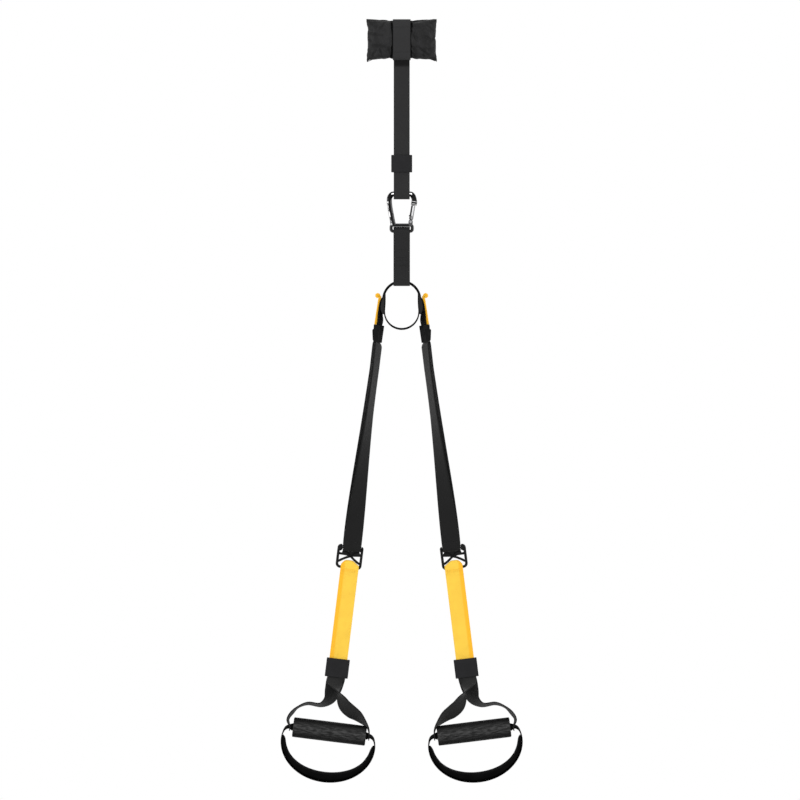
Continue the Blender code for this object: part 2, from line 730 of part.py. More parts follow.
def sewn_lap(name, way):
    """The folded webbing sewn between the ring's side and the strap over it, thickest in the middle."""
    steps = 8
    bm = bmesh.new()
    top, foot = ring_centre + lap_top_drop, ring_centre - lap_bottom_drop
    lap_edge = ring_side_half + web_thick / 2 + clearance
    sections = []
    for k in range(steps + 1):
        z = top + (foot - top) * k / steps
        fall = pivot_z - z
        if fall > 0:
            outer = pivot_out + fall * math.tan(splay_angle)
        else:
            outer = math.sqrt(over_radius ** 2 - (z - ring_centre) ** 2)
        outer -= (web_thick / 2 + clearance) / math.cos(splay_angle)
        share = k / steps
        full = outer - lap_edge - clearance
        lean = (ring_low_radius - ring_side_half) * max(0.0, (side_mid - z) / (side_mid - low_centre))
        inner = lap_edge + clearance + lean
        turned_by = lap_turn_share[0] + (lap_turn_share[1] - lap_turn_share[0]) * share
        thick = (outer - inner) * math.sin(half_turn * turned_by) ** 0.5
        outer = min(outer, inner + max(thick, full * lap_thin_share))
        sections.append([(way * inner, mid_y - lap_width / 2, z), (way * outer, mid_y - lap_width / 2, z),
                         (way * outer, mid_y + lap_width / 2, z), (way * inner, mid_y + lap_width / 2, z)])
    lofted(bm, sections)
    return from_bmesh(name, bm, material(name, grey_web, 0.75), ring_pivot)


sewn_lap("equaliser_lap_left", -1)
sewn_lap("equaliser_lap_right", 1)


# one side
def twist_frame(angle):
    """Across the strap and through it (outward at a right angle), from its turn away from face-on."""
    return Vector((math.cos(angle), -math.sin(angle), 0.0)), Vector((math.sin(angle), math.cos(angle), 0.0))


def row_at(drop, angle, offset, width, shift=0.0):
    across, through = twist_frame(angle)
    middle = Vector((shift, 0.0, drop)) + through * offset
    return middle - across * width / 2, middle + across * width / 2


def leg_and_buckle(tag, side, leg_pivot):
    top = buckle_drop
    foot = buckle_drop + buckle_length
    turn_run = 8
    rows = []
    flat_run = over_radius * math.sin(splay_angle) + lap_bottom_drop + sink
    rows.append(row_at(web_thick / 2 * math.tan(spread_limit) + clearance / 2, quarter_turn, 0.0, web_width))
    for k in range(turn_run + 1):
        share = k / turn_run
        ease = share * share * (3 - 2 * share)
        rows.append(row_at(flat_run + (top - sink - flat_run) * share,
                           quarter_turn + (buckle_twist - quarter_turn) * ease, 0.0, web_width))
    rows.append(row_at(foot - clearance, buckle_twist, 0.0, web_width))
    webbing(f"leg_web_{tag}", rows, material(f"leg_web_{tag}", black_web, 0.75), leg_pivot)

    buckle_pivot = Pivot(f"buckle_slide_{tag}", (0.0, 0.0, top), leg_pivot)
    across, through = twist_frame(buckle_twist)
    down = Vector((0.0, 0.0, 1.0))

    def spot(w, n, s):
        return across * w + through * n + down * s

    def framed_block(w, n, s):
        """A block in the buckle's own frame, from ranges across, through and along it."""
        bm = bmesh.new()
        centre = spot((w[0] + w[1]) / 2, (n[0] + n[1]) / 2, (s[0] + s[1]) / 2)
        turn = Matrix((across, through, down)).transposed().to_4x4()
        size = Matrix.Diagonal((w[1] - w[0], n[1] - n[0], s[1] - s[0], 1.0))
        bmesh.ops.create_cube(bm, size=1.0, matrix=Matrix.Translation(centre) @ turn @ size)
        return bm

    half = buckle_inner_width / 2
    floor_top = -web_thick / 2 - clearance
    low = floor_top - buckle_floor
    high = low + buckle_depth
    frame = from_bmesh(f"buckle_frame_{tag}", framed_block((-half - buckle_wall, half + buckle_wall), (low, high),
                                                           (top, foot)),
                       material(f"buckle_frame_{tag}", moulded, 0.45), buckle_pivot)
    cut(frame, framed_block((-half, half), (floor_top, high + overrun), (top - overrun, foot + overrun)),
        buckle_pivot, "channel")
    bar_n = web_thick / 2 + clearance * 2 + buckle_bar_radius
    for end, place in (("top", top + buckle_bar_radius * bar_inset_share),
                       ("foot", foot - buckle_bar_radius * bar_inset_share)):
        bm = bmesh.new()
        add_bar(bm, spot(-half - buckle_wall / 2, bar_n, place), spot(half + buckle_wall / 2, bar_n, place),
                buckle_bar_radius, 12)
        join(frame, bm, buckle_pivot, end + "_bar")
    pin_s = top + buckle_length * lever_pin_share
    bm = bmesh.new()
    add_bar(bm, spot(-half - buckle_wall - overrun, lever_pin_height, pin_s),
            spot(half + buckle_wall + overrun, lever_pin_height, pin_s), lever_pin_radius + pin_fit, 16)
    cut(frame, bm, buckle_pivot, "pin_hole")

    pin_half = half + buckle_wall + clearance
    bm = bmesh.new()
    add_bar(bm, spot(-pin_half, lever_pin_height, pin_s), spot(pin_half, lever_pin_height, pin_s),
            lever_pin_radius, 16)
    from_bmesh(f"buckle_pin_{tag}", bm, material(f"buckle_pin_{tag}", steel, 0.3, 1.0), buckle_pivot)

    lever_pivot = Pivot(f"lever_axis_{tag}", spot(0.0, lever_pin_height, pin_s), buckle_pivot)
    lever_half = half - clearance
    bm = bmesh.new()
    add_bar(bm, spot(-lever_half, lever_pin_height, pin_s), spot(lever_half, lever_pin_height, pin_s), cam_radius, 20)
    lever = from_bmesh(f"buckle_lever_{tag}", bm, material(f"buckle_lever_{tag}", moulded, 0.45), lever_pivot)
    lever_top = lever_pin_height + cam_radius
    join(lever, framed_block((-lever_half + sink / 4, lever_half - sink / 4), (lever_top - lever_thick, lever_top - clearance / 2),
                             (pin_s, pin_s + lever_length)), lever_pivot, "blade")
    bm = bmesh.new()
    add_bar(bm, spot(-half, lever_pin_height, pin_s), spot(half, lever_pin_height, pin_s),
            lever_pin_radius + pin_fit, 16)
    cut(lever, bm, lever_pivot, "pin_hole")

    # the pull tab rises from the buckle's top bar along the strap's outer face and wraps its rolled end
    foot_s = top - clearance
    half_tab = tab_width / 2
    wrap = tab_roll_radius + clearance + web_thick / 2
    near = tab_roll_out - wrap
    route = smooth_line([(near + (tab_foot_out - near) * a, (foot_s + tab_roll_rise) * b - tab_roll_rise)
                         for a, b in tab_route_share] + [(near, -tab_roll_rise)], 3)
    route += arc((tab_roll_out, -tab_roll_rise), wrap, half_turn, half_turn + tab_wrap, 3)[1:]
    rows = [((x, -half_tab, s), (x, half_tab, s)) for x, s in route]
    webbing(f"pull_tab_{tag}", rows, material(f"pull_tab_{tag}", yellow_web, 0.7), buckle_pivot)
    bm = bmesh.new()
    add_bar(bm, (tab_roll_out, -half_tab, -tab_roll_rise), (tab_roll_out, half_tab, -tab_roll_rise),
            tab_roll_radius, 8)
    from_bmesh(f"pull_tab_roll_{tag}", bm, material(f"pull_tab_roll_{tag}", yellow_web, 0.7), buckle_pivot)
    return foot


def doubled_strap(tag, strap_pivot, start):
    """Both plies from the buckle down, round the link's bar and back, turning from edge-on to face-on."""
    fold = link_fold
    first = start + clearance
    last = link_bar_drop
    steps = 24
    front, back = [], []
    for k in range(steps + 1):
        share = k / steps
        drop = first + (last - first) * share
        angle = buckle_twist * (1 - share ** twist_power_share)
        near = max(0.0, 1 - share / top_split_share)
        low = max(0.0, (share - 1 + foot_split_share) / foot_split_share)
        settled = min(1.0, share / top_settle_share)
        split = ply + (fold - ply) * low * low * (3 - 2 * low)
        belly = math.sin(half_turn * share) ** 0.5 if share < 1 else 0.0
        out = split + (ply_split_top - ply) * near * near
        front.append(row_at(drop, angle, -split * settled, web_width))
        back.append(row_at(drop, angle, out + ply * (1 - settled), web_width, back_ply_out * belly))
    turn = []
    for y, z in arc((0.0, last), fold, half_turn, 0.0, 8)[1:-1]:
        turn.append(((-web_width / 2, y, z), (web_width / 2, y, z)))
    return webbing(f"doubled_strap_{tag}", front + turn + list(reversed(back)),
                   material(f"doubled_strap_{tag}", grey_web, 0.75), strap_pivot)


def plate(name, outlines, thick, edge, mat, pivot):
    """A flat plate in the leg's plane from its outline and its openings, with its edges eased."""
    curve = bpy.data.curves.new(name, "CURVE")
    curve.dimensions = "2D"
    curve.fill_mode = "BOTH"
    curve.extrude = thick / 2 - edge
    curve.bevel_depth = edge
    curve.bevel_resolution = 0
    curve.offset = -edge
    for outline in outlines:
        spline = curve.splines.new("POLY")
        spline.points.add(len(outline) - 1)
        for knot, (x, s) in zip(spline.points, outline):
            knot.co = (x, s, 0.0, 1.0)
        spline.use_cyclic_u = True
    holder = bpy.data.objects.new(name + "_outline", curve)
    parts.objects.link(holder)
    mesh = bpy.data.meshes.new_from_object(holder.evaluated_get(bpy.context.evaluated_depsgraph_get()))
    bpy.data.objects.remove(holder, do_unlink=True)
    bm = bmesh.new()
    bm.from_mesh(mesh)
    bmesh.ops.remove_doubles(bm, verts=bm.verts, dist=clearance / 10)
    for vert in bm.verts:
        vert.co = Vector((vert.co.x, vert.co.z, vert.co.y))
    return from_bmesh(name, bm, mat, pivot)


def rounded(corners, rounds, steps=3):
    """A closed outline through the corners, each rounded off by its own length."""
    found = []
    count = len(corners)
    for k in range(count):
        here = Vector(corners[k])
        before = (Vector(corners[k - 1]) - here)
        after = (Vector(corners[(k + 1) % count]) - here)
        cut_back = min(rounds[k], before.length / 2, after.length / 2)
        if cut_back <= 0:
            found.append(tuple(here))
            continue
        one = here + before.normalized() * cut_back
        two = here + after.normalized() * cut_back
        for j in range(steps + 1):
            t = j / steps
            point = one * (1 - t) ** 2 + here * 2 * t * (1 - t) + two * t * t
            found.append((point.x, point.y))
    return found


def link(tag, link_pivot):
    """The moulded link: a bar for the doubled strap, a crossed web, two windows and a bar for the yellow strap."""
    top = link_bar_drop - link_bar_radius
    bar_foot = link_bar_drop + link_bar_radius
    low_bar_top = ring_bar_drop - link_bar_radius
    foot = ring_bar_drop + link_bar_radius
    wide = link_half_width
    inner = wide - link_side_width
    outer_line = rounded([(-wide, top), (wide, top), (wide, foot), (-wide, foot)],
                         [link_top_round, link_top_round, link_foot_round, link_foot_round])
    slot_foot = bar_foot + link_bar_spacing * slot_height_share
    side_foot = slot_foot + link_bar_spacing * web_rise_share
    slot_line = rounded([(-inner, bar_foot), (inner, bar_foot), (inner, side_foot), (web_width / 2, slot_foot),
                         (-web_width / 2, slot_foot), (-inner, side_foot)],
                        [arm_width / 2, arm_width / 2, arm_width / 3, arm_width, arm_width, arm_width / 3])
    waist = slot_foot + link_bar_spacing * web_drop_share
    lobe_foot = side_foot + arm_width
    arm_end = low_bar_top - link_bar_spacing * arm_end_rise_share + arm_width
    lines = [outer_line, slot_line]
    for way in (-1, 1):
        window = [(way * inner, lobe_foot), (way * inner * 0.45, lobe_foot + arm_width * 0.4),
                  (way * arm_width * 1.1, waist - arm_width * 0.55),
                  (way * inner, arm_end - arm_width)]
        lines.append(rounded(window if way > 0 else window, [arm_width / 3, arm_width, arm_width / 5, arm_width / 4]))
    low_window = [(0.0, waist + arm_width * 0.4), (inner, arm_end), (inner, low_bar_top), (-inner, low_bar_top),
                  (-inner, arm_end)]
    lines.append(rounded(low_window, [arm_width / 3, arm_width / 3, arm_width, arm_width, arm_width / 3]))
    return plate(f"link_{tag}", lines, link_thick, link_edge, material(f"link_{tag}", moulded, 0.4), link_pivot)


def yellow_strap(tag, pivot):
    fold = link_fold
    top = ring_bar_drop - yellow_slack
    merge = ring_bar_drop + yellow_merge_drop
    end = handle_sleeve_drop + yellow_tuck
    path = [(-ply, end), (-ply, merge), (-fold, ring_bar_drop + link_bar_radius)]
    path += [(y, 2 * top - z) for y, z in arc((0.0, top), fold, half_turn, 0.0, 10)]
    path += [(fold, ring_bar_drop + link_bar_radius), (ply, merge), (ply, end)]
    webbing(f"yellow_strap_{tag}", flat_rows(path, web_width), material(f"yellow_strap_{tag}", yellow_web, 0.7),
            pivot)
    rubber_sleeve(f"handle_sleeve_{tag}", web_width + 2 * (clearance + sleeve_side_wall), handle_sleeve_height,
                  handle_sleeve_drop, web_width, material(f"handle_sleeve_{tag}", rubber, 0.6), pivot)


def handle_arm(name, way, reach_share, fall_share, twist_share, back_share, pivot):
    """Handle webbing from the sleeve to its eyed end on the cradle's webbing, beside the grip."""
    start = handle_sleeve_drop + yellow_tuck + clearance
    fall = grip_axis_drop - start
    points = [(arm_end_out * r, grip_axis_drop - fall * f, t * quarter_turn, web_width / 2 * b)
              for r, f, t, b in zip(reach_share, fall_share, twist_share, back_share)]
    points.append((way * arm_end_out, grip_axis_drop + eye_tab_foot, quarter_turn, 0.0))
    line = smooth_line(points, 2)
    rows = []
    for k, (x, s, angle, back) in enumerate(line):
        ahead, behind = line[min(k + 1, len(line) - 1)], line[max(k - 1, 0)]
        run = Vector((ahead[0] - behind[0], 0.0, ahead[1] - behind[1])).normalized()
        side = Vector((run.z, 0.0, -run.x))
        across = side * math.cos(angle) - Vector((0.0, 1.0, 0.0)) * math.sin(angle)
        share = k / (len(line) - 1)
        narrow = max(0.0, (share - 1 + arm_narrow_share) / arm_narrow_share)
        width = web_width + (eye_tab_width - web_width) * narrow * narrow * (3 - 2 * narrow)
        first, last = arm_centre_share
        depth = way * ply * (1 - min(1.0, max(0.0, (share - first) / (last - first)))) + back
        middle = Vector((x, depth, s))
        rows.append((middle - across * width / 2, middle + across * width / 2))
    arm = webbing(name, rows, material(name, grey_web, 0.75), pivot, thick=web_thick)
    bm = bmesh.new()
    add_bar(bm, (way * (arm_end_out - overrun * 2), 0.0, grip_axis_drop),
            (way * (arm_end_out + overrun * 2), 0.0, grip_axis_drop), bundle_radius + bundle_fit, 20)
    return cut(arm, bm, pivot, "eye")


def grip(tag, pivot):
    centre = (0.0, 0.0, grip_axis_drop)
    half = grip_half_length
    turned(f"grip_foam_{tag}", [(core_radius + clearance, half), (grip_radius - cap_round, half),
                                (grip_radius, half - cap_round), (grip_radius, cap_round - half),
                                (grip_radius - cap_round, -half), (core_radius + clearance, -half)],
           material(f"grip_foam_{tag}", foam, 0.95), pivot, centre)
    reach = half + core_reach
    turned(f"grip_core_{tag}", [(core_bore, reach), (core_radius, reach), (core_radius, -reach),
                                (core_bore, -reach)],
           material(f"grip_core_{tag}", moulded, 0.6), pivot, centre)
    hole = bundle_radius + bundle_fit
    for way, where in ((-1, "inner"), (1, "outer")):
        face = reach + clearance
        plug = core_bore - clearance
        outline = [(hole, face + cap_thick), (cap_radius - cap_round, face + cap_thick),
                   (cap_radius, face + cap_thick - cap_round), (cap_radius, face), (plug, face),
                   (plug, face - cap_plug), (hole, face - cap_plug)]
        if way < 0:
            outline = [(r, -p) for r, p in reversed(outline)]
        turned(f"grip_cap_{where}_{tag}", outline, material(f"grip_cap_{where}_{tag}", moulded, 0.5), pivot, centre, 20)


def cradle_line(inset, angle):
    """A place on the cradle's arch, in from its outer line, by the angle round its middle."""
    x = (cradle_half_width - inset) * math.cos(angle)
    depth = cradle_depth - cradle_shoulder_drop
    return x, grip_axis_drop + cradle_shoulder_drop + (depth - inset) * math.sin(angle)


def oval(centre, run, half_wide, half_thick, sides=10):
    """A flattened round section square to its run, wide along y."""
    run = Vector((run[0], 0.0, run[1])).normalized()
    side = Vector((run.z, 0.0, -run.x))
    centre = Vector((centre[0], 0.0, centre[1]))
    return [centre + Vector((0.0, half_wide * math.cos(a), 0.0)) + side * half_thick * math.sin(a)
            for a in (2 * half_turn * k / sides for k in range(sides))]


def foot_cradle(tag, pivot):
    """One webbing runs gathered through the grip, out at both ends and round under it; the pad lies inside."""
    out = arm_end_out + web_thick / 2 + clearance
    half = cradle_web_thick / 2
    centres = [(0.0, grip_axis_drop, 1.0), (out * 0.5, grip_axis_drop, 1.0), (out, grip_axis_drop, 1.0)]
    shoulder = cradle_line(half, 0.0)
    centres += [(out + (shoulder[0] - out) * a, grip_axis_drop + cradle_shoulder_drop * b, gather)
                for a, b, gather in shoulder_share]
    steps = 14
    arch = []
    for k in range(steps + 1):
        angle = half_turn * k / steps
        x, s = cradle_line(half, angle)
        arch.append((x, s, 0.0))
    left = [(-x, s, g) for x, s, g in reversed(centres[1:])]
    loop = centres + arch + left
    sections = []
    for k, (x, s, gather) in enumerate(loop):
        ahead, behind = loop[(k + 1) % len(loop)], loop[k - 1]
        run = (ahead[0] - behind[0], ahead[1] - behind[1])
        wide = web_width / 2 + (bundle_radius - web_width / 2) * gather ** gather_power_share[0]
        thick = half + (bundle_radius - half) * gather ** gather_power_share[1]
        sections.append(oval((x, s), run, wide, thick))
    bm = bmesh.new()
    lofted(bm, sections, closed=True)
    from_bmesh(f"cradle_web_{tag}", bm, material(f"cradle_web_{tag}", black_web, 0.75), pivot)

    bm = bmesh.new()
    steps = 18
    sections = []
    start = -math.asin(min(1.0, (cradle_shoulder_drop - foot_pad_top_drop) / (cradle_depth - cradle_shoulder_drop)))
    for k in range(steps + 1):
        share = k / steps
        angle = start + (half_turn - 2 * start) * share
        low = math.sin(half_turn * share)
        thick = pad_side_thick + (pad_foot_thick - pad_side_thick) * low ** 1.5
        end = min(share, 1 - share) * steps
        ends = foot_pad_end_share + (1 - foot_pad_end_share) * min(1.0, end / 2)
        thick *= ends
        inset = cradle_web_thick + clearance * 2 + thick / 2
        x, s = cradle_line(inset, angle)
        forward = cradle_line(inset, angle + 0.01)
        back = cradle_line(inset, angle - 0.01)
        run = (forward[0] - back[0], forward[1] - back[1])
        sections.append(oval((x, s), run, foot_pad_width / 2 * ends ** 0.5, thick / 2, 10))
    lofted(bm, sections)
    from_bmesh(f"cradle_pad_{tag}", bm, material(f"cradle_pad_{tag}", (0.008, 0.008, 0.008), 0.9), pivot)


for tag, side in (("left", -1), ("right", 1)):
    leg_pivot = Pivot(f"leg_spread_axis_{tag}", (side * pivot_out, mid_y, pivot_z), None, side, -side * splay_angle)
    buckle_foot = leg_and_buckle(tag, side, leg_pivot)
    strap_pivot = Pivot(f"link_pivot_axis_{tag}", (0.0, 0.0, link_bar_drop), leg_pivot)
    doubled_strap(tag, strap_pivot, buckle_foot)
    link(tag, strap_pivot)
    ring_bar_pivot = Pivot(f"handle_swing_axis_{tag}", (0.0, 0.0, ring_bar_drop), strap_pivot)
    yellow_strap(tag, ring_bar_pivot)
    handle_arm(f"arm_inner_{tag}", -1, inner_reach_share, inner_fall_share, inner_twist_share, inner_back_share,
               ring_bar_pivot)
    handle_arm(f"arm_outer_{tag}", 1, outer_reach_share, outer_fall_share, outer_twist_share, outer_back_share,
               ring_bar_pivot)
    grip_pivot = Pivot(f"grip_axis_{tag}", (0.0, 0.0, grip_axis_drop), ring_bar_pivot)
    grip(tag, grip_pivot)
    foot_cradle(tag, grip_pivot)
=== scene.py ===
"""Looks of the suspension trainer: door pad and anchor strap, carabiner, equaliser, two adjustable straps with
their links, grips and foot cradles. Metres, +Z up, the front faces -Y."""

import math

import bmesh
import bpy
from bpy.props import FloatProperty, FloatVectorProperty, PointerProperty
from mathutils import Matrix, Vector
from mathutils.bvhtree import BVHTree


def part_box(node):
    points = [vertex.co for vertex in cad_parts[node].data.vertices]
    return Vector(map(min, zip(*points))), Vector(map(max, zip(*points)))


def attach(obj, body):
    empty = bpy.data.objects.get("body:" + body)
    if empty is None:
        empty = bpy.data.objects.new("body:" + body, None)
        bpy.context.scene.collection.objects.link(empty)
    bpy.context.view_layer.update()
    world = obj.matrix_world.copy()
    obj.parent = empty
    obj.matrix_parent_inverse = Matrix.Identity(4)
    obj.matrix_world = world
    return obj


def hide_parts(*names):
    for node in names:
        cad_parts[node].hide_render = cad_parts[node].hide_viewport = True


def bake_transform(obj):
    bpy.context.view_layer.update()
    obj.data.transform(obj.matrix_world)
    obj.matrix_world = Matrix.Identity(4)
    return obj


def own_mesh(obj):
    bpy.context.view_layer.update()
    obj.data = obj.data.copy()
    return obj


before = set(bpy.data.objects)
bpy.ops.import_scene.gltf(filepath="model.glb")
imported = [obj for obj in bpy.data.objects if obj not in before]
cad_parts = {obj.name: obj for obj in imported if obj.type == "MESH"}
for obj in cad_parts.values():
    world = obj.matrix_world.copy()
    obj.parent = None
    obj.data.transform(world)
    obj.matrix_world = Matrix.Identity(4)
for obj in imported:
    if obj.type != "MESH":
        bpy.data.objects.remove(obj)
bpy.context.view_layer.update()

bl_info = {
    "name": "Suspension Trainer Looks",
    "version": (1, 0, 0),
    "blender": (4, 5, 0),
    "location": "3D View > Sidebar > Trainer",
    "description": "Dresses the suspension trainer: webbing, door pad, carabiner, grips and foot cradles",
    "category": "Object",
}

HALF_TURN, QUARTER_TURN, FULL_TURN = math.pi, math.pi / 2, 2 * math.pi
FRONT = Vector((0.0, -1.0, 0.0))
WHITE = (1.0, 1.0, 1.0)
SIDES = (("left", -1), ("right", 1))

# Places and sizes that several pieces share
CLEAR = 0.0003                             # room between two pieces that lie together
SELVEDGE_EASE = 0.0006                     # rounding of the webbing's edges
STITCH_PITCH = 0.0042                      # from one stitch to the next
MID_Y = 0.00015                            # the straps' middle plane
BOW_Z = -0.2731                            # the middle line of the carabiner's top
EYE_FOOT_Z = -0.3513                       # the middle line of its eye's lower side
BOW_BAR, EYE_BAR = 0.0055, 0.0035          # the radii of its bars
RING_Z = -0.4953                           # the centre of the equaliser's upper round
RING_TOP, RING_SIDE, RING_FOOT = 0.0375, 0.0348, 0.0362

# The top of a leg and its lean outwards, and distances down the leg from there
LEG_TOP_OUT, LEG_TOP_Z = 0.0397, -0.49043
SPLAY = math.radians(7.0)
BUCKLE_TOP, BUCKLE_FOOT = 0.0581, 0.0951
BUCKLE_TWIST = math.radians(76.0)
LINK_BAR, LINK_LOW_BAR = 0.5311, 0.5716
YELLOW_END = 0.7641 + 0.012                # the yellow strap ends inside its sleeve
GRIP_DROP = 0.9181
FOLD_RADIUS = 0.00466                      # the middle of webbing folded round a bar of the link


class TrainerWebbing(bpy.types.PropertyGroup):
    thickness: FloatProperty(name="Webbing thickness", description="Thickness of one ply of webbing",
                             default=0.0022, min=0.001, max=0.004, unit="LENGTH")
    width: FloatProperty(name="Webbing width", description="Width of the leg and handle webbing",
                         default=0.038, min=0.02, max=0.05, unit="LENGTH")
    anchor_width: FloatProperty(name="Anchor strap width", description="Width of the anchor strap",
                                default=0.0335, min=0.02, max=0.05, unit="LENGTH")
    loop_width: FloatProperty(name="Lower strap width", description="Width of the strap under the carabiner",
                              default=0.0345, min=0.02, max=0.05, unit="LENGTH")
    rib: FloatProperty(name="Rib pitch", description="Distance between the ribs woven along the webbing",
                       default=0.0016, min=0.0005, max=0.004, unit="LENGTH")
    pick: FloatProperty(name="Pick pitch", description="Distance between the crossing yarns",
                        default=0.0011, min=0.0004, max=0.004, unit="LENGTH")
    anchor_colour: FloatVectorProperty(name="Anchor strap", description="Colour of the anchor and lower straps",
                                       default=(0.0205, 0.0205, 0.021), min=0, max=1, subtype="COLOR")
    leg_colour: FloatVectorProperty(name="Leg webbing", description="Colour of the leg and handle webbing",
                                    default=(0.0075, 0.0075, 0.0075), min=0, max=1, subtype="COLOR")
    yellow: FloatVectorProperty(name="Yellow webbing", description="Colour of the handle straps and pull tabs",
                                default=(0.97, 0.575, 0.066), min=0, max=1, subtype="COLOR")
    selvedge: FloatVectorProperty(name="Yellow selvedge", description="Deeper colour along the yellow webbing's edge",
                                  default=(0.94, 0.49, 0.030), min=0, max=1, subtype="COLOR")


class TrainerPad(bpy.types.PropertyGroup):
    cloth_colour: FloatVectorProperty(name="Pad cloth", description="Colour of the door pad's satin nylon",
                                      default=(0.0064, 0.0064, 0.0067), min=0, max=1, subtype="COLOR")
    band_width: FloatProperty(name="Band width", description="Width of the band round the pad",
                              default=0.0372, min=0.02, max=0.06, unit="LENGTH")
    voxel: FloatProperty(name="Cloth cell", description="Cell size of the cloth before it swells",
                         default=0.004, min=0.002, max=0.01, unit="LENGTH")
    cap: FloatProperty(name="Largest swell", description="How far a point of the cloth may move",
                       default=0.006, min=0.0, max=0.02, unit="LENGTH")


class TrainerMetal(bpy.types.PropertyGroup):
    colour: FloatVectorProperty(name="Metal", description="Colour of the carabiner's polished metal",
                                default=(0.30, 0.30, 0.31), min=0, max=1, subtype="COLOR")
    polish: FloatProperty(name="Polish", description="Roughness of the polished metal",
                          default=0.14, min=0.0, max=1.0)


class TrainerHandles(bpy.types.PropertyGroup):
    foam_colour: FloatVectorProperty(name="Grip foam", description="Colour of the grips' foam",
                                     default=(0.0085, 0.0085, 0.0085), min=0, max=1, subtype="COLOR")
    grip_radius: FloatProperty(name="Grip radius", description="Outer radius of the foam",
                               default=0.0208, min=0.01, max=0.03, unit="LENGTH")
    grip_half: FloatProperty(name="Grip half length", description="Half the length of the foam",
                             default=0.0740, min=0.04, max=0.1, unit="LENGTH")
    cradle_colour: FloatVectorProperty(name="Cradle cloth", description="Colour of the foot cradle's knitted cloth",
                                       default=(0.0014, 0.0014, 0.0015), min=0, max=1, subtype="COLOR")


class TrainerStage(bpy.types.PropertyGroup):
    pixel: FloatProperty(name="Metres per pixel", description="Real size of one pixel at the trainer",
                         default=0.0021, min=0.0001, max=0.01)
    lens: FloatProperty(name="Lens", description="Focal length of the camera in millimetres",
                        default=220.0, min=20, max=400)
    floor_height: FloatProperty(name="Floor height", description="Height of the floor, under the hung trainer",
                                default=-1.95, max=-1.6, unit="LENGTH")
    sky: FloatProperty(name="Soft light", description="Strength of the even light from all round",
                       default=0.62, min=0, max=3)
    side_power: FloatProperty(name="Side lamps", description="Power of each side lamp in watts",
                              default=36.0, min=0, max=500)
    front_power: FloatProperty(name="Front lamp", description="Power of the front lamp in watts",
                               default=34.0, min=0, max=500)
    top_power: FloatProperty(name="Top lamp", description="Power of the top lamp in watts",
                             default=10.0, min=0, max=500)


# Mesh helpers

def deselect():
    if bpy.context.object and bpy.context.object.mode != "OBJECT":
        bpy.ops.object.mode_set(mode="OBJECT")
    bpy.ops.object.select_all(action="DESELECT")


def take(obj):
    """Makes the piece the only one selected, and active."""
    deselect()
    obj.select_set(True)
    bpy.context.view_layer.objects.active = obj


def edit_all(obj):
    take(obj)
    bpy.ops.object.mode_set(mode="EDIT")
    bpy.ops.mesh.select_all(action="SELECT")


def done():
    bpy.ops.object.mode_set(mode="OBJECT")


def weld(obj):
    edit_all(obj)
    bpy.ops.mesh.remove_doubles(threshold=0.00002)
    done()


def face_out(obj):
    edit_all(obj)
    bpy.ops.mesh.normals_make_consistent(inside=False)
    done()


def apply_all(obj):
    take(obj)
    for modifier in list(obj.modifiers):
        bpy.ops.object.modifier_apply(modifier=modifier.name)


def smooth(obj, angle):
    """Smooth shading, with the edges sharper than an angle in degrees left crisp."""
    take(obj)
    bpy.ops.object.shade_smooth_by_angle(angle=math.radians(angle))


def thicken(obj, thickness):
    """Gives a sheet its thickness, half to each side."""
    solid = obj.modifiers.new("thickness", "SOLIDIFY")
    solid.thickness, solid.offset, solid.use_even_offset = thickness, 0.0, False


def ease_edges(obj, width, segments=2, angle=50):
    """Rounds the edges sharper than an angle in degrees."""
    soft = obj.modifiers.new("edges", "BEVEL")
    soft.width, soft.segments = width, segments
    soft.limit_method, soft.angle_limit = "ANGLE", math.radians(angle)


def refine(obj):
    fine = obj.modifiers.new("fine", "SUBSURF")
    fine.levels = fine.render_levels = 1
    apply_all(obj)


def remesh(obj, cell):
    take(obj)
    obj.data.remesh_voxel_size = cell
    bpy.ops.object.voxel_remesh()


def called(name):
    """Names the primitive that was just added."""
    obj = bpy.context.object
    obj.name = obj.data.name = name
    return obj


def linked(name, data):
    """A new object of the scene, for a mesh, a lamp or a camera."""
    obj = bpy.data.objects.new(name, data)
    bpy.context.scene.collection.objects.link(obj)
    return obj


def drum(name, radius, depth, place, turn, sides=32):
    """A cylinder, its place put into its mesh."""
    deselect()
    bpy.ops.mesh.primitive_cylinder_add(vertices=sides, radius=radius, depth=depth, location=place, rotation=turn)
    obj = called(name)
    bpy.ops.object.transform_apply(location=True, rotation=True, scale=True)
    return obj


def join(body, others):
    """Makes one piece of several."""
    take(body)
    for other in others:
        other.select_set(True)
    bpy.ops.object.join()


def mark(obj, name, value_at):
    """Gives each point a value that the finish reads."""
    layer = obj.data.attributes.new(name, "FLOAT", "POINT")
    for vert in obj.data.vertices:
        layer.data[vert.index].value = value_at(vert.co)


# Lines and sums

def limit(value, low=0.0, high=1.0):
    return max(low, min(high, value))


def eased(share):
    """A share from 0 to 1 that starts and ends gently."""
    return share * share * (3 - 2 * share)


def hump(distance, spread):
    """1 at no distance, falling off evenly to both sides."""
    return math.exp(-(distance / spread) ** 2)


def angles(sides):
    return [FULL_TURN * j / sides for j in range(sides)]


def circle(centre, one_way, other_way, size, sides):
    """A ring of places in the plane of two directions."""
    return [centre + one_way * size * math.cos(a) + other_way * size * math.sin(a) for a in angles(sides)]


def arc(centre, radius, start, end, steps):
    return [(centre[0] + radius * math.cos(start + (end - start) * k / steps),
             centre[1] + radius * math.sin(start + (end - start) * k / steps)) for k in range(steps + 1)]


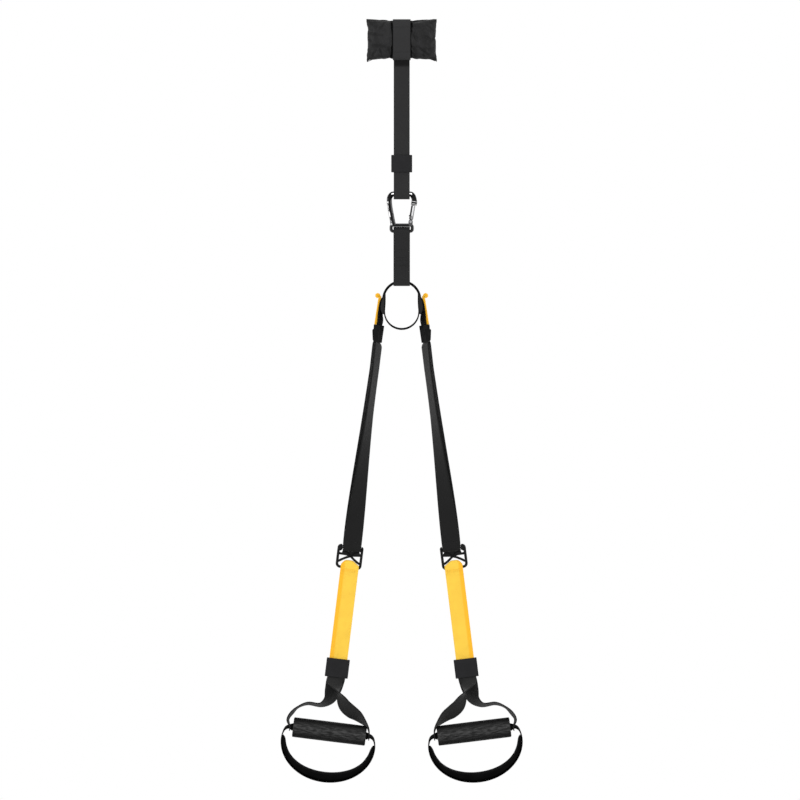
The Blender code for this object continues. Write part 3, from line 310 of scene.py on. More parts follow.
def smooth_line(points, steps):
    """A smooth curve through the points, as many steps between each pair."""
    found = []
    for k in range(len(points) - 1):
        before = points[max(k - 1, 0)]
        one, two = points[k], points[k + 1]
        after = points[min(k + 2, len(points) - 1)]
        for j in range(steps):
            t = j / steps
            found.append(tuple(b + (c - a) * t / 2 + (a - b * 2.5 + c * 2 - d / 2) * t * t
                               + (b * 3 - a - c * 3 + d) / 2 * t ** 3
                               for a, b, c, d in zip(before, one, two, after)))
    found.append(tuple(points[-1]))
    return found


def run_lengths(middles):
    """How far along the line each of its places is."""
    found = [0.0]
    for one, two in zip(middles, middles[1:]):
        found.append(found[-1] + (Vector(two) - Vector(one)).length)
    return found


def direction(behind, ahead):
    """From one place of a flat line to another, with length 1."""
    return Vector((ahead[0] - behind[0], 0.0, ahead[1] - behind[1])).normalized()


def heading(line, k, closed=False):
    """The direction of a flat line at one of its places."""
    ahead = line[(k + 1) % len(line)] if closed else line[min(k + 1, len(line) - 1)]
    behind = line[k - 1] if closed or k else line[0]
    return direction(behind, ahead)


# Webbing and tubes

def surface(name, points, us, vs):
    """A grid laid over rows of places, with its own map in metres along and across."""
    n, m = len(points) - 1, len(points[0]) - 1
    deselect()
    bpy.ops.mesh.primitive_grid_add(x_subdivisions=n, y_subdivisions=m, size=1.0)
    obj = called(name)
    mesh = obj.data
    if len(mesh.vertices) != (n + 1) * (m + 1):
        raise RuntimeError(f"{name}: the grid has {len(mesh.vertices)} corners")
    spots = [(round((v.co.x + 0.5) * n), round((v.co.y + 0.5) * m)) for v in mesh.vertices]
    for vert, (i, j) in zip(mesh.vertices, spots):
        vert.co = points[i][j]
    layer = mesh.uv_layers.active.data
    for loop in mesh.loops:
        i, j = spots[loop.vertex_index]
        layer[loop.index].uv = (us[i], vs[j])
    edge = mesh.attributes.new("edge", "FLOAT", "POINT")
    for k, (i, j) in enumerate(spots):
        edge.data[k].value = abs(2 * j / m - 1)
    obj.location = (0.0, 0.0, 0.0)
    return obj


def strap(name, stations, thick, closed=False, cells=8):
    """Webbing along stations of a middle, a direction across and a width, with eased selvedges."""
    if closed:
        stations = stations + [stations[0]]
    points = [[Vector(mid) + Vector(across) * width * (j / cells - 0.5) for j in range(cells + 1)]
              for mid, across, width in stations]
    wide = max(s[2] for s in stations)
    obj = surface(name, points, run_lengths([s[0] for s in stations]),
                  [wide * (j / cells - 0.5) for j in range(cells + 1)])
    if closed:
        weld(obj)
    thicken(obj, thick)
    ease_edges(obj, SELVEDGE_EASE, 2, 60)
    apply_all(obj)
    smooth(obj, 50)
    return obj


def tube(name, rings, closed=False):
    """A closed skin over rings of places; both ends are filled unless it is a loop."""
    if closed:
        rings = rings + [rings[0]]
    points = [list(ring) + [ring[0]] for ring in rings]
    mids = [sum((Vector(p) for p in ring), Vector()) / len(ring) for ring in rings]
    m = len(points[0]) - 1
    obj = surface(name, points, run_lengths(mids), [j / m for j in range(m + 1)])
    weld(obj)
    if not closed:
        edit_all(obj)
        bpy.ops.mesh.select_all(action="DESELECT")
        bpy.ops.mesh.select_mode(type="EDGE")
        bpy.ops.mesh.select_non_manifold(extend=False)
        bpy.ops.mesh.edge_face_add()
        done()
    face_out(obj)
    smooth(obj, 50)
    return obj


def flat_stations(path, width):
    """Stations whose width lies along X, from places in Y and Z."""
    return [(Vector((0.0, y, z)), Vector((1.0, 0.0, 0.0)), width) for y, z in path]


def edge_stations(path, width):
    """Stations seen edge-on, whose width lies along Y, from places in X and Z."""
    return [(Vector((x, MID_Y, z)), Vector((0.0, 1.0, 0.0)), width) for x, z in path]


# One side's own frame: outward, back and down from the top of its leg

def leg_point(side, x, y, s):
    out = Vector((side * math.cos(SPLAY), 0.0, math.sin(SPLAY)))
    down = Vector((side * math.sin(SPLAY), 0.0, -math.cos(SPLAY)))
    return Vector((side * LEG_TOP_OUT, MID_Y + y, LEG_TOP_Z)) + out * x + down * s


def leg_way(side, x, y, s):
    return leg_point(side, x, y, s) - leg_point(side, 0.0, 0.0, 0.0)


def leg_out(side, point):
    return (Vector(point) - leg_point(side, 0, 0, 0)).dot(leg_way(side, 1.0, 0.0, 0.0))


def leg_drop(side, point):
    return (Vector(point) - leg_point(side, 0, 0, 0)).dot(leg_way(side, 0.0, 0.0, 1.0))


def leg_face_stations(side, line, width):
    """Stations that face the front, from places back and down."""
    return [(leg_point(side, 0.0, y, s), leg_way(side, 1.0, 0.0, 0.0), width) for y, s in line]


def leg_edge_stations(side, line, width):
    """Stations seen edge-on, from places outward and down."""
    return [(leg_point(side, x, 0.0, s), leg_way(side, 0.0, 1.0, 0.0), width) for x, s in line]


# What a piece rides on and wears

def wear(mesh, finish):
    mesh.materials.clear()
    mesh.materials.append(finish_of(finish))


def ride(obj, body, slot, finish, *nodes):
    """Gives the piece its finish, the nodes that it stands for, and its body unless it is blended. The slot is not
    used.
    """
    wear(obj.data, finish)
    if nodes:
        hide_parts(*nodes)
    if body:
        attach(obj, body)
    deselect()


def stitching(name, size, spots, body, slot, finish):
    """Stitches as one piece: small blocks with their edges rounded off, each with its own faces."""
    deselect()
    bpy.ops.mesh.primitive_cube_add(size=1.0)
    stitch = called(name)
    for vert in stitch.data.vertices:
        vert.co = Vector(vert.co[k] * size[k] for k in range(3))
    ease_edges(stitch, min(size) * 0.45, 2, 30)
    apply_all(stitch)
    bm = bmesh.new()
    for matrix in spots:
        start = len(bm.verts)
        bm.from_mesh(stitch.data)
        bm.verts.ensure_lookup_table()
        bmesh.ops.transform(bm, matrix=matrix, verts=bm.verts[start:])
    mesh = bpy.data.meshes.new(name)
    bm.to_mesh(mesh)
    bm.free()
    made = linked(name, mesh)
    bpy.data.objects.remove(stitch, do_unlink=True)
    smooth(made, 60)
    ride(made, body, slot, finish)


# Finishes

class Nodes:
    """A node tree, with short ways to add and join its nodes."""

    def __init__(self, tree):
        self.nodes, self.links = tree.nodes, tree.links

    def add(self, kind, inputs=None, **settings):
        """A node with its settings, and what its sockets hold or are joined to."""
        node = self.nodes.new("ShaderNode" + kind)
        for key, value in settings.items():
            setattr(node, key, value)
        for key, value in (inputs or {}).items():
            self.put(node.inputs[key], value)
        return node

    def put(self, socket, value):
        if isinstance(value, bpy.types.NodeSocket):
            self.links.new(value, socket)
        elif hasattr(value, "__len__"):
            socket.default_value = (*value, 1.0) if len(value) == 3 and len(socket.default_value) == 4 else value
        else:
            socket.default_value = value

    def math(self, operation, one, two=0.0):
        return self.add("Math", {0: one, 1: two}, operation=operation).outputs[0]

    def times(self, one, two):
        return self.math("MULTIPLY", one, two)

    def plus(self, one, two):
        return self.math("ADD", one, two)

    def seen(self):
        """1 for what the camera sees, straight or by way of metal or glass."""
        path = self.add("LightPath").outputs
        return self.math("MAXIMUM", self.math("MAXIMUM", path["Is Camera Ray"], path["Is Glossy Ray"]),
                         path["Is Transmission Ray"])


class Graph(Nodes):
    """A material's nodes."""

    def __init__(self, name, colour, roughness, metallic=0.0, specular=0.5, sheen=0.0, sheen_rough=0.5):
        self.material = bpy.data.materials.new(name)
        self.material.use_nodes = True
        super().__init__(self.material.node_tree)
        self.shader = self.nodes["Principled BSDF"]
        for socket, value in (("Base Color", colour), ("Roughness", roughness), ("Metallic", metallic),
                              ("Specular IOR Level", specular), ("Sheen Weight", sheen),
                              ("Sheen Roughness", sheen_rough)):
            self.put(self.shader.inputs[socket], value)
        self.material.diffuse_color = (*colour, 1.0)

    def between(self, value, low, high, to_low=0.0, to_high=1.0, curve="SMOOTHSTEP"):
        return self.add("MapRange", {0: value, 1: low, 2: high, 3: to_low, 4: to_high},
                        interpolation_type=curve).outputs[0]

    def mix(self, share, one, two):
        return self.add("Mix", {0: share, 6: one, 7: two}, data_type="RGBA").outputs[2]

    def place(self, kind="Object"):
        return self.add("TexCoord").outputs[kind]

    def axes(self, kind="Object"):
        return self.add("SeparateXYZ", {0: self.place(kind)}).outputs

    def stretched(self, scale, kind="Object"):
        return self.add("Mapping", {"Vector": self.place(kind), "Scale": scale}).outputs[0]

    def marked(self, name):
        """What mark gave each point."""
        return self.add("Attribute", attribute_name=name).outputs["Fac"]

    def pattern(self, kind, scale, where=None, inputs=None, **settings):
        return self.add("Tex" + kind, {"Vector": where or self.place(), "Scale": scale, **(inputs or {})},
                        **settings).outputs

    def noise(self, scale, detail=3.0, where=None):
        return self.pattern("Noise", scale, where, {"Detail": detail})["Fac"]

    def bump(self, height, distance, strength=1.0, after=None):
        joined = {"Normal": after} if after else {}
        return self.add("Bump", {"Strength": strength, "Distance": distance, "Height": height, **joined}).outputs[0]

    def ramp(self, where, bands):
        """Grey levels along a value from 0 to 1."""
        node = self.add("ValToRGB", {0: where})
        stops = node.color_ramp.elements
        stops.remove(stops[-1])
        for k, (spot, level) in enumerate(bands):
            stop = stops.new(spot) if k else stops[0]
            stop.position = spot
            stop.color = (level, level, level * 1.01, 1.0)
        return node.outputs[0]

    def finish(self, colour, normal, roughness=None):
        self.put(self.shader.inputs["Base Color"], colour)
        self.put(self.shader.inputs["Normal"], normal)
        if roughness is not None:
            self.put(self.shader.inputs["Roughness"], roughness)
        return self.material


def shade(colour, share):
    return tuple(min(1.0, c * share) for c in colour)


def woven(name, colour, settings, selvedge=None, band=None, sheen=0.0, specular=0.18):
    """Webbing: ribs along the strap, yarns crossing them, a firmer selvedge and a little fuzz and wear.
    The selvedge's colour fills a band across the strap, or the outer parts of a narrow one."""
    graph = Graph(name, colour, 0.85, specular=specular, sheen=sheen, sheen_rough=0.35)
    along, across, _ = graph.axes("UV")
    rib_turn = graph.times(across, FULL_TURN / settings.rib)
    rib = graph.math("ABSOLUTE", graph.math("SINE", graph.times(rib_turn, 0.5)))
    lean = graph.times(graph.math("SINE", rib_turn), 1.2)
    pick = graph.math("SINE", graph.plus(graph.times(along, FULL_TURN / settings.pick), lean))
    yarn = graph.plus(graph.times(rib, 0.65), graph.times(pick, 0.18))
    height = graph.plus(yarn, graph.times(graph.noise(900.0, 2.0), 0.25))
    wear_share = graph.times(graph.between(graph.noise(28.0), 0.35, 0.75), 0.5)
    tone = graph.mix(graph.between(height, 0.1, 0.9), shade(colour, 0.80), shade(colour, 1.12))
    tone = graph.mix(wear_share, tone, shade(colour, 1.15))
    if band:
        tone = graph.mix(graph.between(across, *band), tone, selvedge)
    elif selvedge:
        tone = graph.mix(graph.between(graph.marked("edge"), 0.61, 0.79), tone, selvedge)
    else:
        tone = graph.mix(graph.between(graph.marked("edge"), 0.90, 0.985), tone, shade(colour, 0.62))
    tone = graph.mix(graph.marked("shadow"), tone, shade(colour, 0.16))
    return graph.finish(tone, graph.bump(height, 0.00018, 0.7))


def satin(name, colour):
    """Satin nylon cloth: fine weave, soft gloss, puckers with painted light and shade, painted shade in its folds."""
    graph = Graph(name, colour, 0.50, specular=0.19, sheen=0.03, sheen_rough=0.3)
    weave = graph.pattern("Wave", 700.0, None, {"Distortion": 0.6}, wave_type="BANDS", bands_direction="DIAGONAL")
    pucker = graph.noise(46.0, 5.0)
    # Painted shade and light: the tone follows the puckers' height
    tone = graph.mix(graph.between(pucker, 0.38, 0.62), shade(colour, 0.45), shade(colour, 1.9))
    tone = graph.mix(graph.times(graph.noise(1500.0, 2.0), 0.35), tone, shade(colour, 1.3))
    # Painted shade where the fold value stands
    tone = graph.mix(graph.times(graph.marked("fold"), 0.9), tone, shade(colour, 0.12))
    normal = graph.bump(pucker, 0.0040, 0.7, graph.bump(weave["Fac"], 0.00008, 0.4))
    return graph.finish(tone, normal, graph.between(pucker, 0.2, 0.8, 0.38, 0.55))


def rubbery(name, colour, roughness, specular=0.2):
    """Moulded rubber: a fine even grain, a little paler where it is handled."""
    graph = Graph(name, colour, roughness, specular=specular)
    hands = graph.noise(45.0, 2.0)
    tone = graph.mix(graph.between(hands, 0.3, 0.75), shade(colour, 0.9), shade(colour, 1.25))
    return graph.finish(tone, graph.bump(graph.noise(1400.0, 2.0), 0.00006, 0.5),
                        graph.between(hands, 0.2, 0.8, roughness - 0.06, roughness + 0.08))


def moulded(name, colour, roughness, specular):
    """Moulded plastic: spark-eroded grain with rubbed, glossier high spots, and painted shade in its recesses."""
    graph = Graph(name, colour, roughness, specular=specular)
    rub = graph.noise(90.0)
    tone = graph.mix(graph.between(rub, 0.4, 0.8), shade(colour, 0.9), shade(colour, 1.3))
    # Painted shade where the points were marked as sunken
    tone = graph.mix(graph.marked("recess_shade"), tone, shade(colour, 0.2))
    return graph.finish(tone, graph.bump(graph.noise(1100.0), 0.00005, 0.45),
                        graph.between(rub, 0.3, 0.7, roughness + 0.05, roughness - 0.12))


def foamed(name, colour):
    """Closed-cell foam: mottled cells and shallow pits, paler streaks drawn along it that grow to a painted highlight
    along the front with a thin painted highlight line, and painted shade towards its upper and lower sides."""
    graph = Graph(name, colour, 0.6, specular=0.16)
    cells = graph.pattern("Voronoi", 420.0, feature="F1")
    mottle = graph.noise(160.0, 4.0)
    tone = graph.mix(graph.between(mottle, 0.35, 0.7), shade(colour, 0.35), shade(colour, 1.3))
    around = graph.axes("UV")[1]
    drawn = graph.noise(1.0, 4.0, graph.stretched((70.0, 46.0, 1.0), "UV"))
    # Paler streaks drawn along the foam, strongest along the middle of the front as a painted highlight
    middle = graph.times(graph.between(around, 0.38, 0.50), graph.between(around, 0.62, 0.50))
    streaks_and_highlight = graph.times(graph.plus(middle, 0.18), graph.between(drawn, 0.40, 0.66))
    tone = graph.mix(graph.times(streaks_and_highlight, 0.9), tone, shade(colour, 6.5))
    # Painted highlight: a thin pale line along the front
    line = graph.times(graph.between(around, 0.505, 0.522), graph.between(around, 0.545, 0.528))
    tone = graph.mix(graph.times(line, graph.between(drawn, 0.3, 0.6, 0.1, 0.5)), tone, shade(colour, 7.0))
    # Painted shade towards the upper and lower sides
    far = graph.plus(graph.between(around, 0.59, 0.65), graph.between(around, 0.41, 0.34))
    tone = graph.mix(graph.times(far, 0.8), tone, shade(colour, 0.15))
    height = graph.plus(graph.times(cells["Distance"], 0.7), mottle)
    return graph.finish(tone, graph.bump(height, 0.00045, 0.6), graph.between(mottle, 0.3, 0.7, 0.5, 0.72))


def knitted(name, colour):
    """Knitted cloth over foam: small raised loops, very dark."""
    graph = Graph(name, colour, 0.9, specular=0.05)
    loops = graph.pattern("Voronoi", 620.0, feature="SMOOTH_F1")
    tone = graph.mix(graph.between(graph.noise(60.0), 0.35, 0.75), shade(colour, 0.8), shade(colour, 1.9))
    return graph.finish(tone, graph.bump(loops["Distance"], 0.0003, 0.6))


# Painted reflections round each bar: how far round from its outer edge, by way of its front, and the grey level there
SPINE_BANDS = ((0.0, 0.12), (0.04, 0.50), (0.15, 0.62), (0.175, 0.25), (0.20, 0.01), (0.31, 0.004), (0.34, 0.07),
               (0.43, 0.15), (0.47, 0.03), (0.55, 0.02), (0.9, 0.03), (1.0, 0.12))
PATCHY_REFLECTION_BANDS = ((0.0, 0.03), (0.04, 0.16), (0.09, 0.10), (0.13, 0.02), (0.18, 0.004), (0.31, 0.004), (0.36, 0.03),
              (0.43, 0.12), (0.47, 0.02), (0.9, 0.02), (1.0, 0.05))
BOW_BANDS = ((0.0, 0.04), (0.045, 0.30), (0.08, 0.04), (0.11, 0.006), (0.37, 0.004), (0.42, 0.18), (0.46, 0.03),
             (0.9, 0.02), (1.0, 0.04))
GLINT_BANDS = ((0.0, 0.03), (0.04, 0.16), (0.08, 0.02), (0.175, 0.005), (0.190, 0.75), (0.248, 0.95),
               (0.262, 0.01), (0.37, 0.005), (0.42, 0.18), (0.46, 0.03), (0.9, 0.02), (1.0, 0.03))
NOSE_BANDS = ((0.0, 0.01), (0.24, 0.01), (0.28, 0.45), (0.32, 0.40), (0.36, 0.01), (0.62, 0.01), (0.66, 0.35),
              (0.71, 0.30), (0.75, 0.01), (1.0, 0.01))
EYE_BANDS = ((0.0, 0.10), (0.04, 0.50), (0.11, 0.35), (0.14, 0.02), (0.5, 0.01), (0.92, 0.02), (1.0, 0.10))
GATE_LOW_BANDS = ((0.0, 0.03), (0.07, 0.20), (0.11, 0.02), (0.16, 0.15), (0.21, 0.35), (0.25, 0.03), (0.31, 0.15),
                  (0.35, 0.01), (0.50, 0.01), (0.90, 0.02), (1.0, 0.03))
GATE_HIGH_BANDS = ((0.0, 0.03), (0.06, 0.20), (0.10, 0.30), (0.125, 0.04), (0.15, 0.25), (0.20, 0.55),
                   (0.255, 0.42), (0.285, 0.02), (0.50, 0.01), (0.60, 0.02), (0.90, 0.03), (1.0, 0.03))


def polished(name, colour, roughness, bands=None, further=None, ends=None, patchy_reflection=None, glint=None):
    """Polished dark metal: painted reflections in bands round the bar, with fine scratches and fingermarks.
    Bands of a second painted reflection show in patches, further bands take over along the bar between two places,
    the end has bands across it, and painted glint bands stand within a distance of the middle and over a height."""
    graph = Graph(name, colour, roughness, metallic=1.0)
    scratch = graph.noise(1.0, 2.0, graph.stretched((60.0, 400.0, 900.0)))
    marks = graph.noise(120.0)
    tone = graph.mix(graph.between(marks, 0.35, 0.75), shade(colour, 0.92), shade(colour, 1.08))
    if bands:
        along, around, _ = graph.axes("UV")
        # Painted reflections: grey levels by the way round the bar
        level = graph.ramp(around, bands)
        # Painted reflections of a second pattern, shown in patches
        if patchy_reflection:
            level = graph.mix(graph.between(graph.noise(170.0), 0.46, 0.56), level, graph.ramp(around, patchy_reflection))
        if further:
            reach = graph.plus(along, graph.times(graph.noise(300.0, 2.0), 0.006))
            level = graph.mix(graph.between(reach, *further[1:]), level, graph.ramp(around, further[0]))
        if ends:
            run = graph.between(along, *ends[1:], curve="LINEAR")
            level = graph.mix(graph.math("GREATER_THAN", along, ends[1]), level, graph.ramp(run, ends[0]))
        if glint:
            x, _, z = graph.axes()
            glint_bands, out, height = glint
            beside = graph.between(graph.math("ABSOLUTE", x), out - 0.0008, out + 0.0008, 1.0, 0.0)
            above = graph.between(z, height - 0.001, height + 0.001)
            level = graph.mix(graph.times(beside, above), level, graph.ramp(around, glint_bands))
        tone = graph.mix(graph.between(marks, 0.3, 0.8, 0.0, 0.02), level, colour)
    return graph.finish(tone, graph.bump(scratch, 0.00001, 0.25),
                        graph.between(marks, 0.3, 0.8, roughness, roughness + 0.08))


finishes = {}


def finish_of(name):
    """The finishes are made once and shared by the pieces."""
    if finishes:
        return finishes[name]
    scene = bpy.context.scene
    webbing, pad, metal, handles = (scene.trainer_webbing, scene.trainer_pad, scene.trainer_metal,
                                    scene.trainer_handles)
    anchor, leg, yellow, selvedge = webbing.anchor_colour, webbing.leg_colour, webbing.yellow, tuple(webbing.selvedge)
    finishes.update({
        "anchor": woven("webbing_anchor", anchor, webbing, sheen=0.04),
        "band": woven("webbing_band", shade(anchor, 1.25), webbing, sheen=0.04),
        "leg": woven("webbing_leg", leg, webbing, sheen=0.22),
        "handle": woven("webbing_handle", shade(leg, 2.3), webbing, sheen=0.14),
        "loop": woven("webbing_loop", shade(anchor, 0.78), webbing, sheen=0.03),
        # The ring finish is a darker copy of the leg webbing without sheen: painted shade where webbing is seen
        # edge-on or turned from the light
        "ring": woven("webbing_ring", shade(leg, 0.75), webbing, specular=0.06),
        "lap": woven("webbing_lap", shade(leg, 2.8), webbing, specular=0.08),
        "yellow": woven("webbing_yellow", yellow, webbing, selvedge, (0.0085, 0.0125), specular=0.15),
        "tab": woven("webbing_tab", yellow, webbing, selvedge, specular=0.15),
        "thread_black": rubbery("thread_black", (0.012, 0.012, 0.012), 0.7),
        "thread_yellow": rubbery("thread_yellow", (0.80, 0.42, 0.03), 0.7),
        "satin": satin("pad_satin", pad.cloth_colour),
        "rubber": rubbery("sleeve_rubber", (0.0125, 0.0125, 0.0135), 0.62, 0.12),
        "plastic": moulded("link_plastic", (0.0078, 0.0078, 0.0080), 0.60, 0.08),
        "buckle": moulded("buckle_plastic", (0.0108, 0.0108, 0.0108), 0.9, 0.02),
        "tube": moulded("grip_tube", (0.005, 0.005, 0.005), 0.7, 0.05),
        "foam": foamed("grip_foam", handles.foam_colour),
        "knit": knitted("cradle_knit", handles.cradle_colour),
        "metal": polished("carabiner_metal", metal.colour, metal.polish, SPINE_BANDS, (BOW_BANDS, 0.052, 0.060),
                          (NOSE_BANDS, 0.1215, 0.1345), PATCHY_REFLECTION_BANDS, (GLINT_BANDS, 0.0213, BOW_Z - 0.010)),
        "eye_metal": polished("carabiner_eye", metal.colour, metal.polish, EYE_BANDS),
        # The plain and gate metals are darker copies of the carabiner's metal: painted dark reflections on the ears,
        # the gate's tongue and stop, and the rivet
        "plain_metal": polished("carabiner_plain", shade(metal.colour, 0.18), 0.3),
        "gate_metal": polished("gate_metal", shade(metal.colour, 0.75), 0.38),
        "gate_bands": polished("gate_bands", metal.colour, 0.18, GATE_LOW_BANDS, (GATE_HIGH_BANDS, 0.0095, 0.0125)),
    })
    return finishes[name]


class TrainerStep:
    bl_options = {"REGISTER", "UNDO"}


# Anchor strap and lower strap

class TRAINER_OT_anchor_strap(TrainerStep, bpy.types.Operator):
    """Makes the anchor strap, folded round the carabiner's bow"""
    bl_idname = "trainer.anchor_strap"
    bl_label = "Anchor Strap"

    def execute(self, context):
        web = context.scene.trainer_webbing
        ply = (web.thickness + CLEAR) / 2
        front, back = MID_Y - ply, MID_Y + ply
        fold = BOW_BAR + CLEAR + web.thickness / 2
        top, shade_foot, pad_bend = 0.0125, -0.0075, 0.0020
        back_top, parting = -0.1955, -0.2360
        path = [(front, top - top * k / 10) for k in range(11)]
        path += [(front, z) for z in (-0.0025, -0.0050, shade_foot, -0.10, -0.2315)]
        path += smooth_line([(front, parting), (front - 0.0016, -0.2470), (MID_Y - fold, BOW_Z + 0.014)], 4)
        path += arc((MID_Y, BOW_Z - 0.0032), fold, HALF_TURN, FULL_TURN, 20)
        path += smooth_line([(MID_Y + fold, BOW_Z + 0.014), (back + 0.0016, -0.2470), (back, parting)], 4)
        path += [(back, -0.2315), (back, back_top)]
        piece = strap("anchor_webbing", flat_stations(path, web.anchor_width), web.thickness)
        mark(piece, "shadow", lambda co: limit((co.z - shade_foot) / 0.0050))
        ride(piece, None, "webbing_black", "anchor", "anchor_strap")
        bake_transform(piece)
        wear(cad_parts["anchor_sleeve"].data, "rubber")
        return {"FINISHED"}


class TRAINER_OT_lower_strap(TrainerStep, bpy.types.Operator):
    """Makes the sewn loop between the carabiner's eye and the equaliser, with its rows of stitching"""
    bl_idname = "trainer.lower_strap"
    bl_label = "Lower Strap"

    def execute(self, context):
        web = context.scene.trainer_webbing
        ply = (web.thickness + CLEAR) / 2
        front = MID_Y - ply
        fold = EYE_BAR + CLEAR + web.thickness / 2
        rise = 0.0084
        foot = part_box("lower_strap")[0][2] + web.thickness / 2
        foot_y = 0.019 + 0.0004 + web.thickness / 2
        flare = RING_Z + RING_TOP + 2 * web.thickness + CLEAR
        turn = 0.0006 + web.thickness / 2
        half = [(MID_Y - fold * math.sin(QUARTER_TURN * k / 8), EYE_FOOT_Z + rise * math.cos(QUARTER_TURN * k / 8))
                for k in range(9)]
        half += smooth_line([(front, EYE_FOOT_Z - 0.016), (front, flare + 0.034), (front - 0.0015, flare + 0.026),
                             (MID_Y - foot_y, flare)], 6)
        half += arc((MID_Y - foot_y + turn, foot + turn), turn, HALF_TURN, HALF_TURN * 1.5, 5)
        half += [(MID_Y - foot_y * 0.4, foot)]
        path = half + [(2 * MID_Y - y, z) for y, z in reversed(half)][:-1]
        piece = strap("lower_webbing", flat_stations(path, web.loop_width), web.thickness, closed=True)
        # Painted shade: the fold round the eye is marked as dark as the selvedges
        edge = piece.data.attributes["edge"].data
        for vert in piece.data.vertices:
            if vert.co.z > EYE_FOOT_Z + 0.0030:
                edge[vert.index].value = 1.0
        ride(piece, "lower_loop", "webbing_black", "loop", "lower_strap")
        count = int(web.loop_width * 0.84 / STITCH_PITCH)
        spots = [Matrix.Translation(((k - (count - 1) / 2) * STITCH_PITCH, front - web.thickness / 2, z))
                 for z in (-0.3900, -0.4060, -0.4130, -0.4245, -0.4310, -0.4370) for k in range(count)]
        stitching("lower_strap_stitching", (0.0030, 0.0006, 0.0009), spots, "lower_loop", "webbing_black",
                  "thread_black")
        return {"FINISHED"}


# Door pad

PAD_MID = Vector((0.0, -0.0011, 0.0))
PAD_LOW, PAD_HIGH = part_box("pad_front_panel")
PAD_HALF, PAD_TALL = (PAD_HIGH[0] - PAD_LOW[0]) / 2, (PAD_HIGH[2] - PAD_LOW[2]) / 2
PAD_Z = (PAD_LOW[2] + PAD_HIGH[2]) / 2
CLOTH_RISE, BAND_RISE = 0.0152, 0.0124     # how far the cloth and the band stand out at the middle
BAND_INSET = 0.00259                       # the band's middle line is this far inside the pad's rim
# Both ends of each crease, across and up from the pad's middle, and its depth
CREASES = ((0.021, 0.018, 0.034, -0.004, 0.0016), (0.020, -0.014, 0.031, -0.031, 0.0018),
           (0.036, -0.018, 0.056, -0.034, 0.0014), (0.052, 0.032, 0.070, 0.012, 0.0012),
           (0.046, 0.006, 0.066, -0.002, 0.0010), (-0.071, 0.014, -0.040, 0.008, 0.0014),
           (-0.036, 0.034, -0.052, 0.016, 0.0012), (-0.062, -0.012, -0.034, -0.018, 0.0012),
           (-0.046, -0.020, -0.041, -0.036, 0.0016), (-0.028, -0.022, -0.023, -0.038, 0.0014),
           (-0.064, -0.036, -0.052, -0.024, 0.0012), (-0.019, 0.0395, -0.066, 0.0425, 0.0018),
           (0.020, 0.036, 0.050, 0.0415, 0.0020), (0.044, -0.030, 0.049, -0.041, 0.0012),
           (0.024, -0.030, 0.030, -0.040, 0.0022), (-0.068, 0.000, -0.060, -0.006, 0.0010))


def pad_depth(rise, *shares):
    """Half the pad's depth at shares of the way to its rims."""
    full = 1.0
    for share in shares:
        full *= 1 - abs(share) ** 2.6
    return 0.0016 + rise * max(0.0, full) ** 0.55


def pad_shape(u, v, way):
    """A place on the pillow: drawn-in sides with ears at its corners, swelling from its seam. The cloth is cut
    a little larger than the pad, because its remeshing and smoothing take that much off its rim."""
    loss = 0.0016
    draw = 0.0042 if v < 0 else 0.0026
    x = u * (PAD_HALF + loss - 0.0034 * u * u * (1 - v ** 4))
    z = PAD_Z + v * (PAD_TALL + loss - draw * (1 - abs(u) ** 5))
    return Vector((x, PAD_MID.y + way * pad_depth(CLOTH_RISE, u, v), z))


def let_swell(obj, pressure, cap, held=None, frames=20, spare=0.0):
    """Inflates a closed cloth a little and keeps the result as its mesh."""
    take(obj)
    rest = [v.co.copy() for v in obj.data.vertices]
    cloth = obj.modifiers.new("swell", "CLOTH")
    settings = cloth.settings
    settings.use_pressure = True
    settings.uniform_pressure_force = pressure
    settings.quality = 6
    settings.mass = 0.2
    settings.tension_stiffness = settings.compression_stiffness = 12
    settings.bending_stiffness = 0.3
    settings.shrink_min = -spare
    settings.effector_weights.gravity = 0.0
    cloth.collision_settings.use_collision = False
    if held:
        group = obj.vertex_groups.new(name="held")
        for vert in obj.data.vertices:
            weight = held(vert.co)
            if weight > 0:
                group.add([vert.index], weight, "REPLACE")
        settings.vertex_group_mass = "held"
    scene = bpy.context.scene
    for step in range(1, frames + 1):
        scene.frame_set(step)
    found = obj.evaluated_get(bpy.context.evaluated_depsgraph_get()).to_mesh()
    moved = [v.co.copy() for v in found.vertices]
    obj.modifiers.remove(cloth)
    scene.frame_set(1)
    for vert, was, now in zip(obj.data.vertices, rest, moved):
        step = now - was
        if step.length > cap:
            step = step.normalized() * cap
        vert.co = was + step
    obj.vertex_groups.clear()


